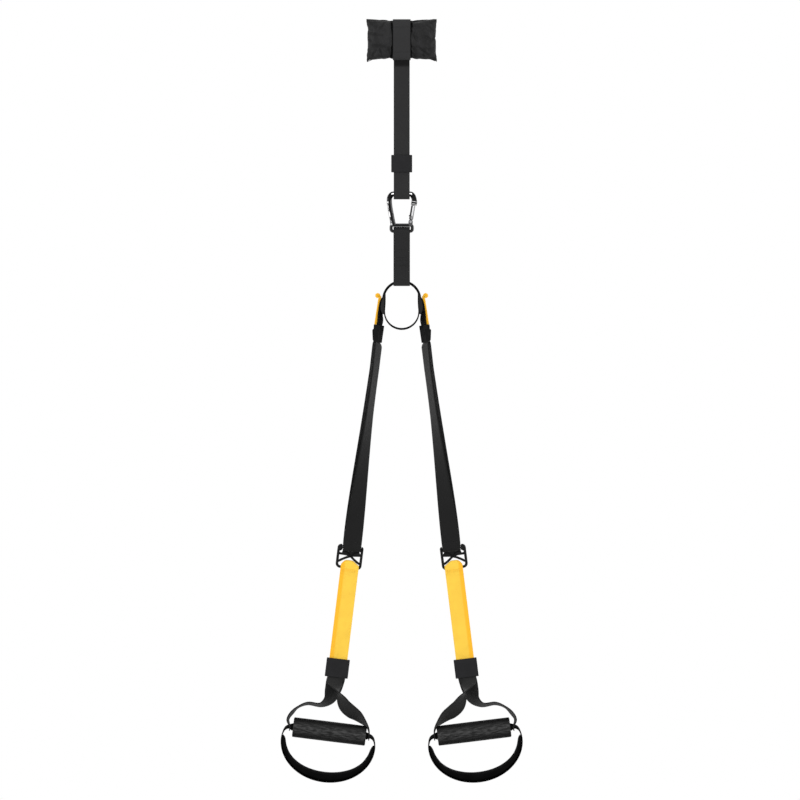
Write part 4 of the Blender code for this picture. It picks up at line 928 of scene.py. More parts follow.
class TRAINER_OT_door_pad(TrainerStep, bpy.types.Operator):
    """Makes the stuffed door pad, cinched by the band round its middle"""
    bl_idname = "trainer.door_pad"
    bl_label = "Door Pad"

    def execute(self, context):
        pad, web = context.scene.trainer_pad, context.scene.trainer_webbing
        columns, rows = 36, 22
        us = [2 * k / columns - 1 for k in range(columns + 1)]
        vs = [2 * k / rows - 1 for k in range(rows + 1)]
        pillow = tube("door_pad_cloth", [[pad_shape(u, v, -1) for u in us] + [pad_shape(u, v, 1) for u in reversed(us)]
                                         for v in vs])
        remesh(pillow, pad.voxel * 0.8)
        soft = pillow.modifiers.new("soft", "SMOOTH")
        soft.factor = 0.5
        soft.iterations = 4
        apply_all(pillow)
        band_half = pad.band_width / 2

        def held(co):
            if abs(co.x) < band_half - 0.002:
                return 1.0
            return 0.35 if max(abs(co.x) / PAD_HALF, abs(co.z - PAD_Z) / PAD_TALL) > 0.94 else 0.0

        for vert in pillow.data.vertices:
            near = abs(vert.co.x) / (band_half + (0.006 if vert.co.x < 0 else 0.0035))
            if near < 1:
                self.press(vert, 0.0060 * (1 - near ** 9))
        let_swell(pillow, 3.2, pad.cap, held, spare=0.045)
        refine(pillow)
        self.pucker(pillow)
        self.keep_under_band(pillow, pad)
        face_out(pillow)
        smooth(pillow, 180)
        ride(pillow, "door_pad", "pad_fabric", "satin", "pad_front_panel", "pad_back_panel", "pad_core")
        self.seam(pillow, pad)
        self.band(pad, web)
        return {"FINISHED"}

    def press(self, vert, deep):
        """Moves a point of the cloth inwards, half its depth at most."""
        depth = vert.co.y - PAD_MID.y
        vert.co.y -= math.copysign(min(deep, abs(depth) * 0.5), depth)

    def pucker(self, pillow):
        """Creases that run from the band and the seam, and the seam's small gathers."""
        # The fold value is painted shade: in the creases, in a line beside the band and towards the pad's rims
        fold = pillow.data.attributes.new("fold", "FLOAT", "POINT")
        for vert in pillow.data.vertices:
            x, z = vert.co.x, vert.co.z - PAD_Z
            deep = 0.0
            for x0, z0, x1, z1, crease in CREASES:
                span = Vector((x1 - x0, z1 - z0))
                share = limit(((x - x0) * span.x + (z - z0) * span.y) / span.length_squared)
                away = math.hypot(x - x0 - span.x * share, z - z0 - span.y * share)
                fade = 0.35 + 0.65 * math.sin(HALF_TURN * min(0.95, share + 0.1))
                deep += crease * 1.9 * fade * hump(away, 0.0024)
            # Painted shadow beside the band, stronger on its left, and painted shade towards the rims
            band_shadow = hump(x + 0.0205, 0.0020) + 0.2 * hump(x - 0.0196, 0.0010)
            rim = 0.55 * hump(1 - abs(x) / PAD_HALF, 0.09) + 0.7 * hump(1 - abs(z) / PAD_TALL, 0.16)
            fold.data[vert.index].value = min(1.0, deep / 0.0030 + band_shadow + rim)
            self.press(vert, deep)
            side = max(0.0, abs(x) / PAD_HALF - 0.90) / 0.10
            edge = max(0.0, abs(z) / PAD_TALL - 0.84) / 0.16
            ripple = 0.0006 * (1 + math.sin(z * 190 + (1.0 if x > 0 else 3.4))) + 0.0003 * math.sin(z * 610 + x * 9)
            notch = 0.0014 * hump(z - (0.020 if x < 0 else 0.004), 0.0022)
            vert.co.x -= math.copysign(side * (ripple + notch), x)
            gather = 0.0002 if z > 0 else 0.0007
            vert.co.z -= math.copysign(edge * gather * (1 + math.sin(x * 300 + 2.4) + 0.6 * math.sin(x * 710)), z)
            drawn = hump(abs(x) - 0.024, 0.009) if z > 0 else max(0.0, (abs(x) - 0.052) / 0.020) ** 1.5
            vert.co.z -= 0.0022 * edge * drawn

    def keep_under_band(self, pillow, pad):
        """Holds the cloth just inside the band where the band presses on it."""
        tallest = PAD_TALL - BAND_INSET
        for vert in pillow.data.vertices:
            if abs(vert.co.x) < pad.band_width / 2 + 0.001:
                depth, height = vert.co.y - PAD_MID.y, vert.co.z - PAD_Z
                room = pad_depth(BAND_RISE, min(1.0, abs(height) / tallest))
                if abs(depth) > room:
                    vert.co.y = PAD_MID.y + math.copysign(room, depth)
                if abs(height) > tallest:
                    vert.co.z = PAD_Z + math.copysign(tallest, height)

    def seam(self, pillow, pad):
        """The stitched seam that follows the pad's rim."""
        mesh = pillow.data
        rim = BVHTree.FromPolygons([v.co for v in mesh.vertices], [p.vertices for p in mesh.polygons])
        centre = Vector((0.0, PAD_MID.y, PAD_Z))
        spots = []
        for t in angles(144):
            u, v = limit(1.35 * math.cos(t), -1.0), limit(1.35 * math.sin(t), -1.0)
            out = Vector((u * PAD_HALF, 0.0, v * PAD_TALL))
            hit = rim.ray_cast(centre + out * 1.5, -out.normalized())[0]
            under_band = abs(hit.x) < pad.band_width / 2 + 0.001
            spots.append(hit - out.normalized() * (0.0014 if under_band else 0.0003))
        rings = []
        for k, spot in enumerate(spots):
            run = (spots[(k + 1) % len(spots)] - spots[k - 1]).normalized()
            side = Vector((run.z, 0.0, -run.x))
            rings.append(circle(spot, Vector((0.0, 0.0013, 0.0)), side * 0.0008, 1.0, 8))
        ride(tube("door_pad_seam", rings, closed=True), "door_pad", "pad_fabric", "ring")

    def band(self, pad, web):
        """The band round the pad, and the rows of stitching across it."""
        stand = web.thickness / 2 + CLEAR
        line = []
        for way in (-1, 1):
            for k in range(25):
                v = (k / 12 - 1) * -way
                line.append((PAD_MID.y + way * (pad_depth(BAND_RISE, v) + stand),
                             PAD_Z + v * (PAD_TALL - BAND_INSET) + stand * v * abs(v)))
        piece = strap("door_pad_band", flat_stations(line, pad.band_width), web.thickness, closed=True)
        ride(piece, "door_pad", "webbing_black", "band", "pad_band")
        spots = []
        for share in (0.80, 0.60, -0.62, -0.84):
            z = PAD_Z + PAD_TALL * share
            front = pad_depth(BAND_RISE, abs(z - PAD_Z) / (PAD_TALL - BAND_INSET)) + web.thickness + CLEAR
            spots += [Matrix.Translation(((k - 4) * STITCH_PITCH, PAD_MID.y - front - 0.0001, z)) for k in range(9)]
        stitching("door_pad_stitching", (0.0030, 0.0007, 0.0009), spots, "door_pad", "webbing_black", "thread_black")


# Carabiner

# From the middle of its top: out to its spine, its straight and its corner, and down to its other places
BOW_OUT, BOW_FLAT, BOW_CORNER = 0.0262, 0.0175, 0.0087
CORNER_DROP, SPINE_DROP, NOSE_DROP, FOOT_DROP = 0.01262, 0.01413, 0.0232, 0.065
GATE_OUT, GATE_DROP = 0.0187, 0.0585
GATE_Z = BOW_Z - GATE_DROP
GATE_LEAN = math.atan2(BOW_OUT - GATE_OUT, GATE_DROP - CORNER_DROP)
FACING = (QUARTER_TURN, 0.0, 0.0)


def gate_x(z):
    return GATE_OUT + (z - GATE_Z) * math.tan(GATE_LEAN)


def bar_along(name, line, radius, closed=False, sides=24):
    """A round bar in the plane of X and Z, whose map starts at its outer edge and runs round its front."""
    rings = []
    for k, (x, z) in enumerate(line):
        run = heading(line, k, closed)
        rings.append(circle(Vector((x, MID_Y, z)), Vector((-run.z, 0.0, run.x)), FRONT, radius, sides))
    return tube(name, rings, closed=closed)


class TRAINER_OT_carabiner(TrainerStep, bpy.types.Operator):
    """Makes the carabiner's polished body, its gate and its rivet"""
    bl_idname = "trainer.carabiner"
    bl_label = "Carabiner"

    def execute(self, context):
        nose_z = BOW_Z - NOSE_DROP
        corner = [(0.46, 0.12), (0.78, 0.40), (0.96, 0.78)]
        spine = ((-0.985, 0.06), (-0.955, 0.22), (-0.90, 0.40), (-0.82, 0.62), (-0.72, 0.88), (-0.66, 1.0))
        points = [(gate_x(nose_z), nose_z), (BOW_OUT, BOW_Z - SPINE_DROP)]
        points += [(BOW_FLAT + BOW_CORNER * a, BOW_Z - CORNER_DROP * b) for a, b in reversed(corner)]
        points += [(BOW_FLAT, BOW_Z), (0.0, BOW_Z), (-BOW_FLAT, BOW_Z)]
        points += [(-BOW_FLAT - BOW_CORNER * a, BOW_Z - CORNER_DROP * b) for a, b in corner]
        points += [(BOW_OUT * a, BOW_Z - SPINE_DROP - (FOOT_DROP - SPINE_DROP) * b) for a, b in spine]
        body = bar_along("carabiner_bow", smooth_line(points, 6)[::-1], BOW_BAR, sides=32)
        for vert in body.data.vertices:
            under = BOW_Z - 0.0125 - vert.co.z
            if under > 0 and vert.co.x > gate_x(vert.co.z):
                vert.co.x += 0.0014 * min(1.0, under / 0.0050)
        eye = []
        middle, round_off = (BOW_Z - FOOT_DROP + EYE_FOOT_Z) / 2, 0.0045
        for k, (across, up) in enumerate(((1, 1), (-1, 1), (-1, -1), (1, -1))):
            spot = (across * (0.0224 - round_off), middle + up * (0.0066 - round_off))
            eye += arc(spot, round_off, QUARTER_TURN * k, QUARTER_TURN * (k + 1), 8)
        ring = bar_along("carabiner_eye", eye[::-1], EYE_BAR, closed=True, sides=20)
        ride(body, "carabiner", "carabiner_metal", "metal", "carabiner_body")
        ride(ring, "carabiner", "carabiner_metal", "eye_metal")
        self.ears()
        self.gate()
        wear(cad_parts["gate_pin"].data, "gate_metal")
        return {"FINISHED"}

    def ears(self):
        """Both ears that hold the gate, rounded round the rivet."""
        for way, place in ((-1, "front"), (1, "back")):
            ear = drum(f"carabiner_ear_{place}", 0.0045, 0.0023, (GATE_OUT, MID_Y + way * 0.00425, GATE_Z), FACING, 40)
            for vert in ear.data.vertices:
                if vert.co.z < GATE_Z:
                    vert.co.z -= 0.0052 * min(1.0, (GATE_Z - vert.co.z) / 0.0030)
            ease_edges(ear, 0.0005, 3)
            apply_all(ear)
            smooth(ear, 40)
            ride(ear, "carabiner", "carabiner_metal", "plain_metal")

    def gate(self):
        """The gate's barrel, rounded at its nose and necked at its tongue, with its stop."""
        foot = Vector((GATE_OUT, MID_Y, GATE_Z))
        aim = Vector((math.sin(GATE_LEAN), 0.0, math.cos(GATE_LEAN)))
        side = Vector((aim.z, 0.0, -aim.x))
        radius, reach = 0.0043, (GATE_DROP - NOSE_DROP) / math.cos(GATE_LEAN) - 0.00055
        stops = [(0.0042, 0.0027), (0.0050, 0.0033), (0.0056, radius), (0.0100, radius), (reach * 0.55, radius),
                 (reach - 0.0012, radius), (reach - 0.0004, 0.0040), (reach, 0.0034)]
        barrel = tube("gate_barrel", [circle(foot + aim * run, side, FRONT, size, 28) for run, size in stops])
        ride(barrel, "carabiner_gate", "carabiner_metal", "gate_bands", "gate")
        tongue = drum("gate_tongue", 0.0040, 0.0058, foot, FACING)
        for vert in tongue.data.vertices:
            if (vert.co - foot).dot(aim) > 0.001:
                vert.co += aim * 0.0014
        ease_edges(tongue, 0.0003)
        apply_all(tongue)
        smooth(tongue, 40)
        stop = foot + aim * 0.0125
        knob = tube("gate_stop", [circle(stop - side * run, aim, -FRONT, size, 16) for run, size in
                                  ((0.0030, 0.0013), (0.0050, 0.0013), (0.0056, 0.0011), (0.0059, 0.0006))])
        for piece in (tongue, knob):
            ride(piece, "carabiner_gate", "carabiner_metal", "plain_metal")


# Equaliser

class TRAINER_OT_equaliser(TrainerStep, bpy.types.Operator):
    """Makes the equaliser's ring, the webbing over it and the sewn laps at its sides"""
    bl_idname = "trainer.equaliser"
    bl_label = "Equaliser"

    def execute(self, context):
        web = context.scene.trainer_webbing
        over = RING_TOP + web.thickness + CLEAR
        half = QUARTER_TURN - SPLAY
        path = arc((0.0, RING_Z), over, QUARTER_TURN - half, QUARTER_TURN + half, 48)
        piece = strap("equaliser_over_webbing", edge_stations(path, web.width), web.thickness)
        ride(piece, "equaliser", "webbing_black", "ring", "equaliser_over_web")
        low = RING_Z - 0.0249
        angle = math.acos(RING_SIDE / RING_TOP)
        side_z = RING_Z + RING_TOP * math.sin(angle)
        mid = (side_z + low) / 2
        path = arc((0.0, RING_Z), RING_TOP, angle, HALF_TURN - angle, 36)
        left = smooth_line([(-RING_SIDE, side_z), (-RING_SIDE * 1.002, mid), (-RING_FOOT, low)], 8)[1:-1]
        path += left
        path += arc((0.0, low), RING_FOOT, HALF_TURN, FULL_TURN, 40)
        path += [(-x, z) for x, z in reversed(left)]
        piece = strap("equaliser_ring_webbing", edge_stations(path, web.width), web.thickness, closed=True)
        for vert in piece.data.vertices:
            fall = low - vert.co.z
            if fall > 0:
                away = math.hypot(vert.co.x, fall)
                swell = (away - RING_FOOT) * (0.30 + 0.45 * (fall / away) ** 2)
                vert.co.x += vert.co.x / away * swell
                vert.co.z -= fall / away * swell
        ride(piece, "equaliser", "webbing_black", "ring", "equaliser_ring")
        for tag, side in SIDES:
            self.lap(tag, side, over, mid, low)
        return {"FINISHED"}

    def lap(self, tag, side, over, mid, low):
        """The folded webbing sewn between the ring's side and the strap over it."""
        top, foot, deep = RING_Z + 0.0150, RING_Z - 0.0300, 0.0185
        out_x, out_z = over * math.cos(SPLAY), RING_Z + over * math.sin(SPLAY)
        level, crown = Vector(), Vector((0.0, 0.0003, 0.0))
        rings = []
        steps = 18
        for k in range(steps + 1):
            share = k / steps
            z = top + (foot - top) * share
            fall = out_z - z
            outer = out_x + fall * math.tan(SPLAY) if fall > 0 else math.sqrt(over ** 2 - (z - RING_Z) ** 2)
            outer -= 0.00115 / math.cos(SPLAY)
            inner = RING_SIDE + 0.0006 + 0.0014 * max(0.0, (mid - z) / (mid - low))
            full = 1 - 0.75 * max(0.0, (share - 0.60) / 0.40) ** 2
            lean = deep * math.cos(upper_twist(max(0.0, (LEG_TOP_Z - z) / math.cos(SPLAY)))) * full
            outer = min(outer, inner + max((outer - inner) * full, 0.0010))
            corners = [Vector((side * x, MID_Y + way * deep, z)) for x, way in
                       ((inner, -1), (outer + lean, -1), (max(outer - lean, inner + 0.0006), 1), (inner, 1))]
            ring = []
            for j, bulge in enumerate((-crown, level, crown, level)):
                ring += [corners[j], (corners[j] + corners[(j + 1) % 4]) / 2 + bulge]
            rings.append(ring)
        piece = tube(f"equaliser_lap_{tag}_webbing", rings)
        ride(piece, "equaliser", "webbing_grey", "lap", f"equaliser_lap_{tag}")


# Legs

LEG_START, LEG_EASED = 0.0002, 0.0112      # drops between which the webbing opens as it leaves the equaliser


def twist(angle):
    """The directions across and through webbing turned by an angle, outward and back."""
    return (math.cos(angle), -math.sin(angle)), (math.sin(angle), math.cos(angle))


def upper_twist(drop):
    """How far the webbing above the buckle has turned, by how far down it is."""
    opened = math.radians(80.0)
    share = limit((drop - LEG_START) / (LEG_EASED - LEG_START))
    angle = QUARTER_TURN + (opened - QUARTER_TURN) * share * (2 - share)
    if drop > LEG_EASED:
        angle += (BUCKLE_TWIST - opened) * min(1.0, (drop - LEG_EASED) / (BUCKLE_TOP - 0.0012 - LEG_EASED))
    return angle - math.radians(3.5) * hump(drop - BUCKLE_TOP + 0.012, 0.012)


def leg_station(side, drop, angle, offset, width, shift=0.0):
    """A station of turned webbing, moved through its own plane and outward."""
    across, through = twist(angle)
    middle = leg_point(side, shift + through[0] * offset, through[1] * offset, drop)
    return middle, leg_way(side, across[0], across[1], 0.0), width


class TRAINER_OT_legs(TrainerStep, bpy.types.Operator):
    """Makes both legs: the webbing into the buckle and the doubled length that hangs the link"""
    bl_idname = "trainer.legs"
    bl_label = "Leg Webbing"

    def execute(self, context):
        web = context.scene.trainer_webbing
        for tag, side in SIDES:
            self.upper(tag, side, web)
            self.length(tag, side, web)
        return {"FINISHED"}

    def upper(self, tag, side, web):
        """From the equaliser into the buckle."""
        drops = [LEG_START + (LEG_EASED - LEG_START) * k / 8 for k in range(9)]
        drops += [LEG_EASED + (BUCKLE_FOOT - 0.0012 - LEG_EASED) * k / 28 for k in range(1, 29)]
        stations = []
        for drop in drops:
            slack = 0.0017 * math.sin(HALF_TURN * min(1.0, drop / 0.044))
            slack -= 0.0006 * hump(drop - BUCKLE_TOP + 0.008, 0.006)
            stations.append(leg_station(side, drop, upper_twist(drop), 0.0, web.width, slack))
        piece = strap(f"leg_webbing_{tag}", stations, web.thickness)
        ride(piece, None, "webbing_grey", "ring", f"leg_web_{tag}")
        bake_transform(piece)

    def length(self, tag, side, web):
        """Both plies from the buckle to the link."""
        ply = (web.thickness + CLEAR) / 2
        first, last = BUCKLE_FOOT - 0.0003, LINK_BAR
        split = last - 0.0120
        front, back = [], []
        steps = 96
        for k in range(steps + 1):
            share = k / steps
            drop = first + (last - first) * share
            angle = BUCKLE_TWIST * (1 - share ** 2.2)
            gap = ply + (FOLD_RADIUS - ply) * eased(max(0.0, (share - 0.94) / 0.06))
            joined = min(1.0, share * 8)
            leave = min(1.0, share / 0.016)
            opened = 0.14 * leave * max(0.0, 1 - share / 0.35)
            spread = 0.0030 * eased(leave) * max(0.0, 1 - share / 0.8) ** 1.4
            front.append((drop, leg_station(side, drop, angle - opened, -gap * joined, web.width, -spread)))
            near = max(0.0, 1 - share * 6)
            behind = gap + (0.0025 - ply) * near * near + ply * (1 - joined)
            belly = math.sin(HALF_TURN * share) ** 0.5 if share < 1 else 0.0
            back.append((drop, leg_station(side, drop, angle, behind, web.width, 0.0035 * belly)))
        for name, plies in (("front", front), ("back", back)):
            piece = strap(f"length_webbing_{name}_{tag}", [s for d, s in plies if d < split], web.thickness)
            ride(piece, f"strap_loop_{tag}", "webbing_grey", "leg")
            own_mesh(piece)
        fold = arc((0.0, last), FOLD_RADIUS, HALF_TURN, 0.0, 12)[1:-1]
        stations = [s for d, s in front if d >= split - 0.005] + leg_face_stations(side, fold, web.width)
        stations += [s for d, s in reversed(back) if d >= split - 0.005]
        piece = strap(f"length_fold_{tag}", stations, web.thickness)
        ride(piece, f"strap_loop_{tag}", "webbing_grey", "leg", f"doubled_strap_{tag}")


# Buckles

class TRAINER_OT_buckles(TrainerStep, bpy.types.Operator):
    """Makes the cam buckles and their yellow pull tabs"""
    bl_idname = "trainer.buckles"
    bl_label = "Cam Buckles"

    def execute(self, context):
        for tag, side in SIDES:
            wear(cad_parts[f"buckle_pin_{tag}"].data, "buckle")
            self.lever(tag, side)
            self.housing(tag, side)
            self.tab(tag, side)
        return {"FINISHED"}

    def lever(self, tag, side):
        """The cam lever, its blade leaning in on the housing towards its foot."""
        lever = linked(f"buckle_lever_{tag}_moulding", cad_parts[f"buckle_lever_{tag}"].data.copy())
        weld(lever)
        through = twist(BUCKLE_TWIST)[1]
        normal = leg_way(side, through[0], through[1], 0.0)
        for vert in lever.data.vertices:
            past = leg_drop(side, vert.co) - (BUCKLE_TOP + 0.0180)
            vert.co -= normal * 0.21 * max(0.0, past)
        smooth(lever, 35)
        ride(lever, f"cam_lever_{tag}", "buckle_plastic", "buckle", f"buckle_lever_{tag}")

    def housing(self, tag, side):
        """The buckle's channel, open at both ends for the strap, and its two bars."""
        wide, wall, floor = 0.0217, 0.0022, 0.0018
        across, through = twist(BUCKLE_TWIST)

        def place(w, n, s):
            return leg_point(side, across[0] * w + through[0] * n, across[1] * w + through[1] * n, s)

        rings = []
        for share in (0.0, 0.03, 0.25, 0.5, 0.75, 0.97, 1.0):
            drop = BUCKLE_TOP + 0.0002 + (BUCKLE_FOOT - BUCKLE_TOP - 0.0004) * share
            trim = 0.0006 if share in (0.0, 1.0) else 0.0
            low, high = -0.0052 + 0.0009 * share + trim, 0.0066 - 0.0030 * share ** 1.3 - trim
            inside = low - 2 * trim + floor
            out, wall_in = wide - trim, wide - wall + trim
            outline = ((-out, low), (out, low), (out, high), (wall_in, high), (wall_in, inside), (-wall_in, inside),
                       (-wall_in, high), (-out, high))
            rings.append([place(w, n, drop) for w, n in outline])
        body = tube(f"buckle_housing_{tag}", rings)
        bars = []
        ends = ((-wide + 0.0004, 0.0012), (-wide + 0.0010, 0.0014), (wide - 0.0010, 0.0014), (wide - 0.0004, 0.0012))
        for name, drop in (("top", BUCKLE_TOP + 0.0022), ("foot", BUCKLE_FOOT - 0.0022)):
            bars.append(tube(f"buckle_bar_{name}_{tag}", [
                [place(w, -0.0028 + size * math.cos(a), drop + size * math.sin(a)) for a in angles(14)]
                for w, size in ends]))
        join(body, bars)
        smooth(body, 35)
        ride(body, f"cam_buckle_{tag}", "buckle_plastic", "buckle", f"buckle_frame_{tag}")

    def tab(self, tag, side):
        """The doubled pull tab rises from the buckle's top bar to its rolled end."""
        roll_out, roll_rise, last, turns = 0.0112, 0.0024, 0.0052, 2.5
        width = 0.025
        foot = BUCKLE_TOP - CLEAR
        line = [(roll_out - last + 0.0020 * (k / 12) ** 0.9, (foot + roll_rise) * k / 12 - roll_rise)
                for k in range(12, -1, -1)]
        piece = strap(f"pull_tab_{tag}_webbing", leg_edge_stations(side, line, width), 0.0058)
        ride(piece, f"cam_buckle_{tag}", "webbing_yellow", "tab", f"pull_tab_{tag}")
        line = []
        for k in range(19):
            a = HALF_TURN - FULL_TURN * turns * k / 18
            size = last - (last - 0.0003) * k / 18
            line.append((roll_out + size * math.cos(a), -roll_rise - size * math.sin(a)))
        piece = strap(f"pull_tab_roll_{tag}_webbing", leg_edge_stations(side, line, width), 0.00215)
        smooth(piece, 25)
        ride(piece, f"cam_buckle_{tag}", "webbing_yellow", "tab", f"pull_tab_roll_{tag}")


# Links and yellow straps

class TRAINER_OT_links(TrainerStep, bpy.types.Operator):
    """Makes the moulded links and the yellow straps folded round their lower bars"""
    bl_idname = "trainer.links"
    bl_label = "Links and Yellow Straps"

    def execute(self, context):
        web = context.scene.trainer_webbing
        for tag, side in SIDES:
            wear(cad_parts[f"handle_sleeve_{tag}"].data, "rubber")
            self.link(tag, side)
            self.yellow(tag, side, web)
            self.stitches(tag, side, web)
        return {"FINISHED"}

    def yellow(self, tag, side, web):
        """The yellow strap, its fold rounded over the bar and falling towards its edges."""
        ply = (web.thickness + CLEAR) / 2
        bar, merge = LINK_LOW_BAR, LINK_LOW_BAR + 0.0220
        half = [(-ply, YELLOW_END), (-ply, (YELLOW_END + merge) / 2)]
        half += smooth_line([(-ply, merge + 0.02), (-ply, merge), (-ply - 0.0009, merge - 0.008),
                             (-FOLD_RADIUS, bar + 0.0026)], 5)
        half += [(-FOLD_RADIUS, bar - 0.004)]
        over = [(y, 2 * (bar - 0.0100) - s) for y, s in arc((0.0, bar - 0.0100), FOLD_RADIUS, HALF_TURN, 0.0, 16)]
        line = half + over + [(-y, s) for y, s in reversed(half)]
        piece = strap(f"yellow_webbing_{tag}", leg_face_stations(side, line, web.width), web.thickness, cells=12)
        down = leg_way(side, 0.0, 0.0, 1.0)
        for vert in piece.data.vertices:
            drop = leg_drop(side, vert.co)
            if drop < bar:
                out = leg_out(side, vert.co)
                inner, power = (0.35, 2.2) if out > 0 else (0.24, 1.05)
                rise = max(0.0, abs(out) / (web.width / 2) - inner) / (1 - inner)
                vert.co += down * 0.0105 * min(1.0, rise) ** power * min(1.0, (bar - drop) / 0.012)
        ride(piece, f"hanger_{tag}", "webbing_yellow", "yellow", f"yellow_strap_{tag}")

    def stitches(self, tag, side, web):
        """Rows of stitching where the yellow strap's plies meet under the fold."""
        turn = Matrix((leg_way(side, 1.0, 0.0, 0.0), Vector((0.0, 1.0, 0.0)), leg_way(side, 0.0, 0.0, -1.0)))
        turn = turn.transposed().to_4x4()
        front = (web.thickness + CLEAR) / 2 + web.thickness / 2
        spots = []
        for drop in (0.5752, 0.5778, 0.5804, 0.5830):
            depth = front + (FOLD_RADIUS + web.thickness / 2 - front) * (0.5866 - drop) / 0.0124
            spots += [Matrix.Translation(leg_point(side, (k - 3.5) * STITCH_PITCH, -depth - 0.0001, drop)) @ turn
                      for k in range(8)]
        stitching(f"yellow_stitching_{tag}", (0.0031, 0.0006, 0.0010), spots, f"hanger_{tag}", "webbing_yellow",
                  "thread_yellow")

    def link(self, tag, side):
        """The moulded link: its frame and strap bar, the web with crossed arms, and two sunken ribs in painted shade.
        """
        def rod(name, line, wide, deep):
            rings = []
            for k, (x, s) in enumerate(line):
                run = heading(line, k)
                end = 0.7 if k in (0, len(line) - 1) else 1.0
                ring = []
                for a in angles(12):
                    out = wide * end * math.copysign(abs(math.cos(a)) ** 0.7, math.cos(a))
                    y = deep * end * math.copysign(abs(math.sin(a)) ** 0.7, math.sin(a))
                    ring.append(leg_point(side, x + run.z * out, y, s - run.x * out))
                rings.append(ring)
            return tube(name, rings)

        loop = [(0.0207, 0.5265)] + arc((0.0226, 0.5315), 0.0050, QUARTER_TURN * 3, FULL_TURN, 6)
        loop += arc((0.0206, 0.5646), 0.0070, 0.0, QUARTER_TURN, 6)
        loop += arc((-0.0157, 0.5656), 0.0060, QUARTER_TURN, HALF_TURN, 6)
        loop += arc((-0.0187, 0.5305), 0.0030, HALF_TURN, QUARTER_TURN * 2.87, 6)
        body = rod("link_frame", loop, 0.0028, 0.0024)
        others = [rod("link_strap_bar", [(-0.0215, LINK_BAR), (0.0275, LINK_BAR)], 0.0024, 0.0022)]
        arms = (((0.0012, 0.5478), (0.0080, 0.5502), (0.0175, 0.5552), (0.0262, 0.5608)),
                ((0.0000, 0.5480), (-0.0072, 0.5540), (-0.0152, 0.5596), (-0.0222, 0.5626)))
        others += [rod(f"link_arm_{k}", smooth_line(arm, 5), 0.0025, 0.0022) for k, arm in enumerate(arms)]
        ribs = (((0.0170, 0.5382), (0.0100, 0.5392), (0.0040, 0.5432), (0.0016, 0.5490)),
                ((-0.0140, 0.5382), (-0.0080, 0.5396), (-0.0026, 0.5436), (0.0002, 0.5490)))
        for k, line in enumerate(ribs):
            rib = rod(f"link_rib_{k}", smooth_line(line, 5), 0.0013, 0.0006)
            for vert in rib.data.vertices:
                vert.co.y -= 0.0020
            # Painted shade in the sunken ribs
            mark(rib, "recess_shade", lambda co: 1.0)
            others.append(rib)
        web = ((0.0190, 0.53690), (-0.0165, 0.53690), (-0.0180, 0.5404), (-0.0222, 0.5414), (-0.0222, 0.5454),
               (-0.0172, 0.5467), (-0.0045, 0.5480), (-0.0018, 0.5494), (0.0010, 0.5502), (0.0040, 0.5492),
               (0.0086, 0.5472), (0.0160, 0.5466), (0.0280, 0.5464), (0.0280, 0.5402), (0.0215, 0.5418),
               (0.0200, 0.5414))
        near = ((0.0196, 0.5262), (0.0278, 0.5268), (0.0285, 0.5370), (0.0240, 0.5384), (0.0196, 0.5356))
        far = ((-0.0193, 0.5272), (-0.0222, 0.5278), (-0.0222, 0.5366), (-0.0193, 0.5350))
        others += [self.plate(f"link_web_{k}", outline, side) for k, outline in enumerate((web, near, far))]
        join(body, others)
        body.name = body.data.name = f"link_body_{tag}_moulding"
        smooth(body, 40)
        ride(body, f"link_body_{tag}", "link_plastic", "plastic", f"link_{tag}")

    def plate(self, name, outline, side):
        """A flat part of the moulding with eased edges."""
        deselect()
        bpy.ops.mesh.primitive_circle_add(vertices=len(outline), radius=0.01, fill_type="NGON")
        obj = called(name)
        for vert, (x, s) in zip(obj.data.vertices, outline):
            vert.co = leg_point(side, x, 0.0, s)
        thicken(obj, 0.0040)
        ease_edges(obj, 0.0004)
        apply_all(obj)
        face_out(obj)
        return obj


# Handles

ARM_OUT = 0.0838                           # from the grip's middle to the webbing's eyed ends
# Each arm from its sleeve to its end: shares of ARM_OUT outward, of its height, of a quarter turn, and set back
INNER = ((0.0, 0.0, -0.036, -0.103, -0.19, -0.315, -0.477, -0.66, -0.88, -0.967, -1.0),
         (1.0, 0.805, 0.7276, 0.6076, 0.509, 0.403, 0.332, 0.273, 0.165, 0.092, 0.0),
         (0.0, 0.0, 0.39, 1.0, 1.32, 1.50, 1.52, 1.41, 1.156, 1.056, 1.0),
         (0.0, 0.0, -0.20, -0.42, -0.35, -0.20, -0.08, 0.0, 0.0, 0.0, 0.0))
OUTER = ((0.0, 0.0, 0.012, 0.04, 0.10, 0.30, 0.62, 0.86, 1.0, 1.07, 1.0),
         (1.0, 0.80, 0.745, 0.62, 0.47, 0.372, 0.372, 0.30, 0.20, 0.10, 0.0),
         (0.0, 0.0, 0.08, 0.30, 0.58, 0.82, 0.87, 0.92, 0.87, 0.92, 1.0),
         (0.0, 0.0, 0.15, 0.5, 0.6, 0.35, 0.1, 0.0, 0.0, 0.0, 0.0))


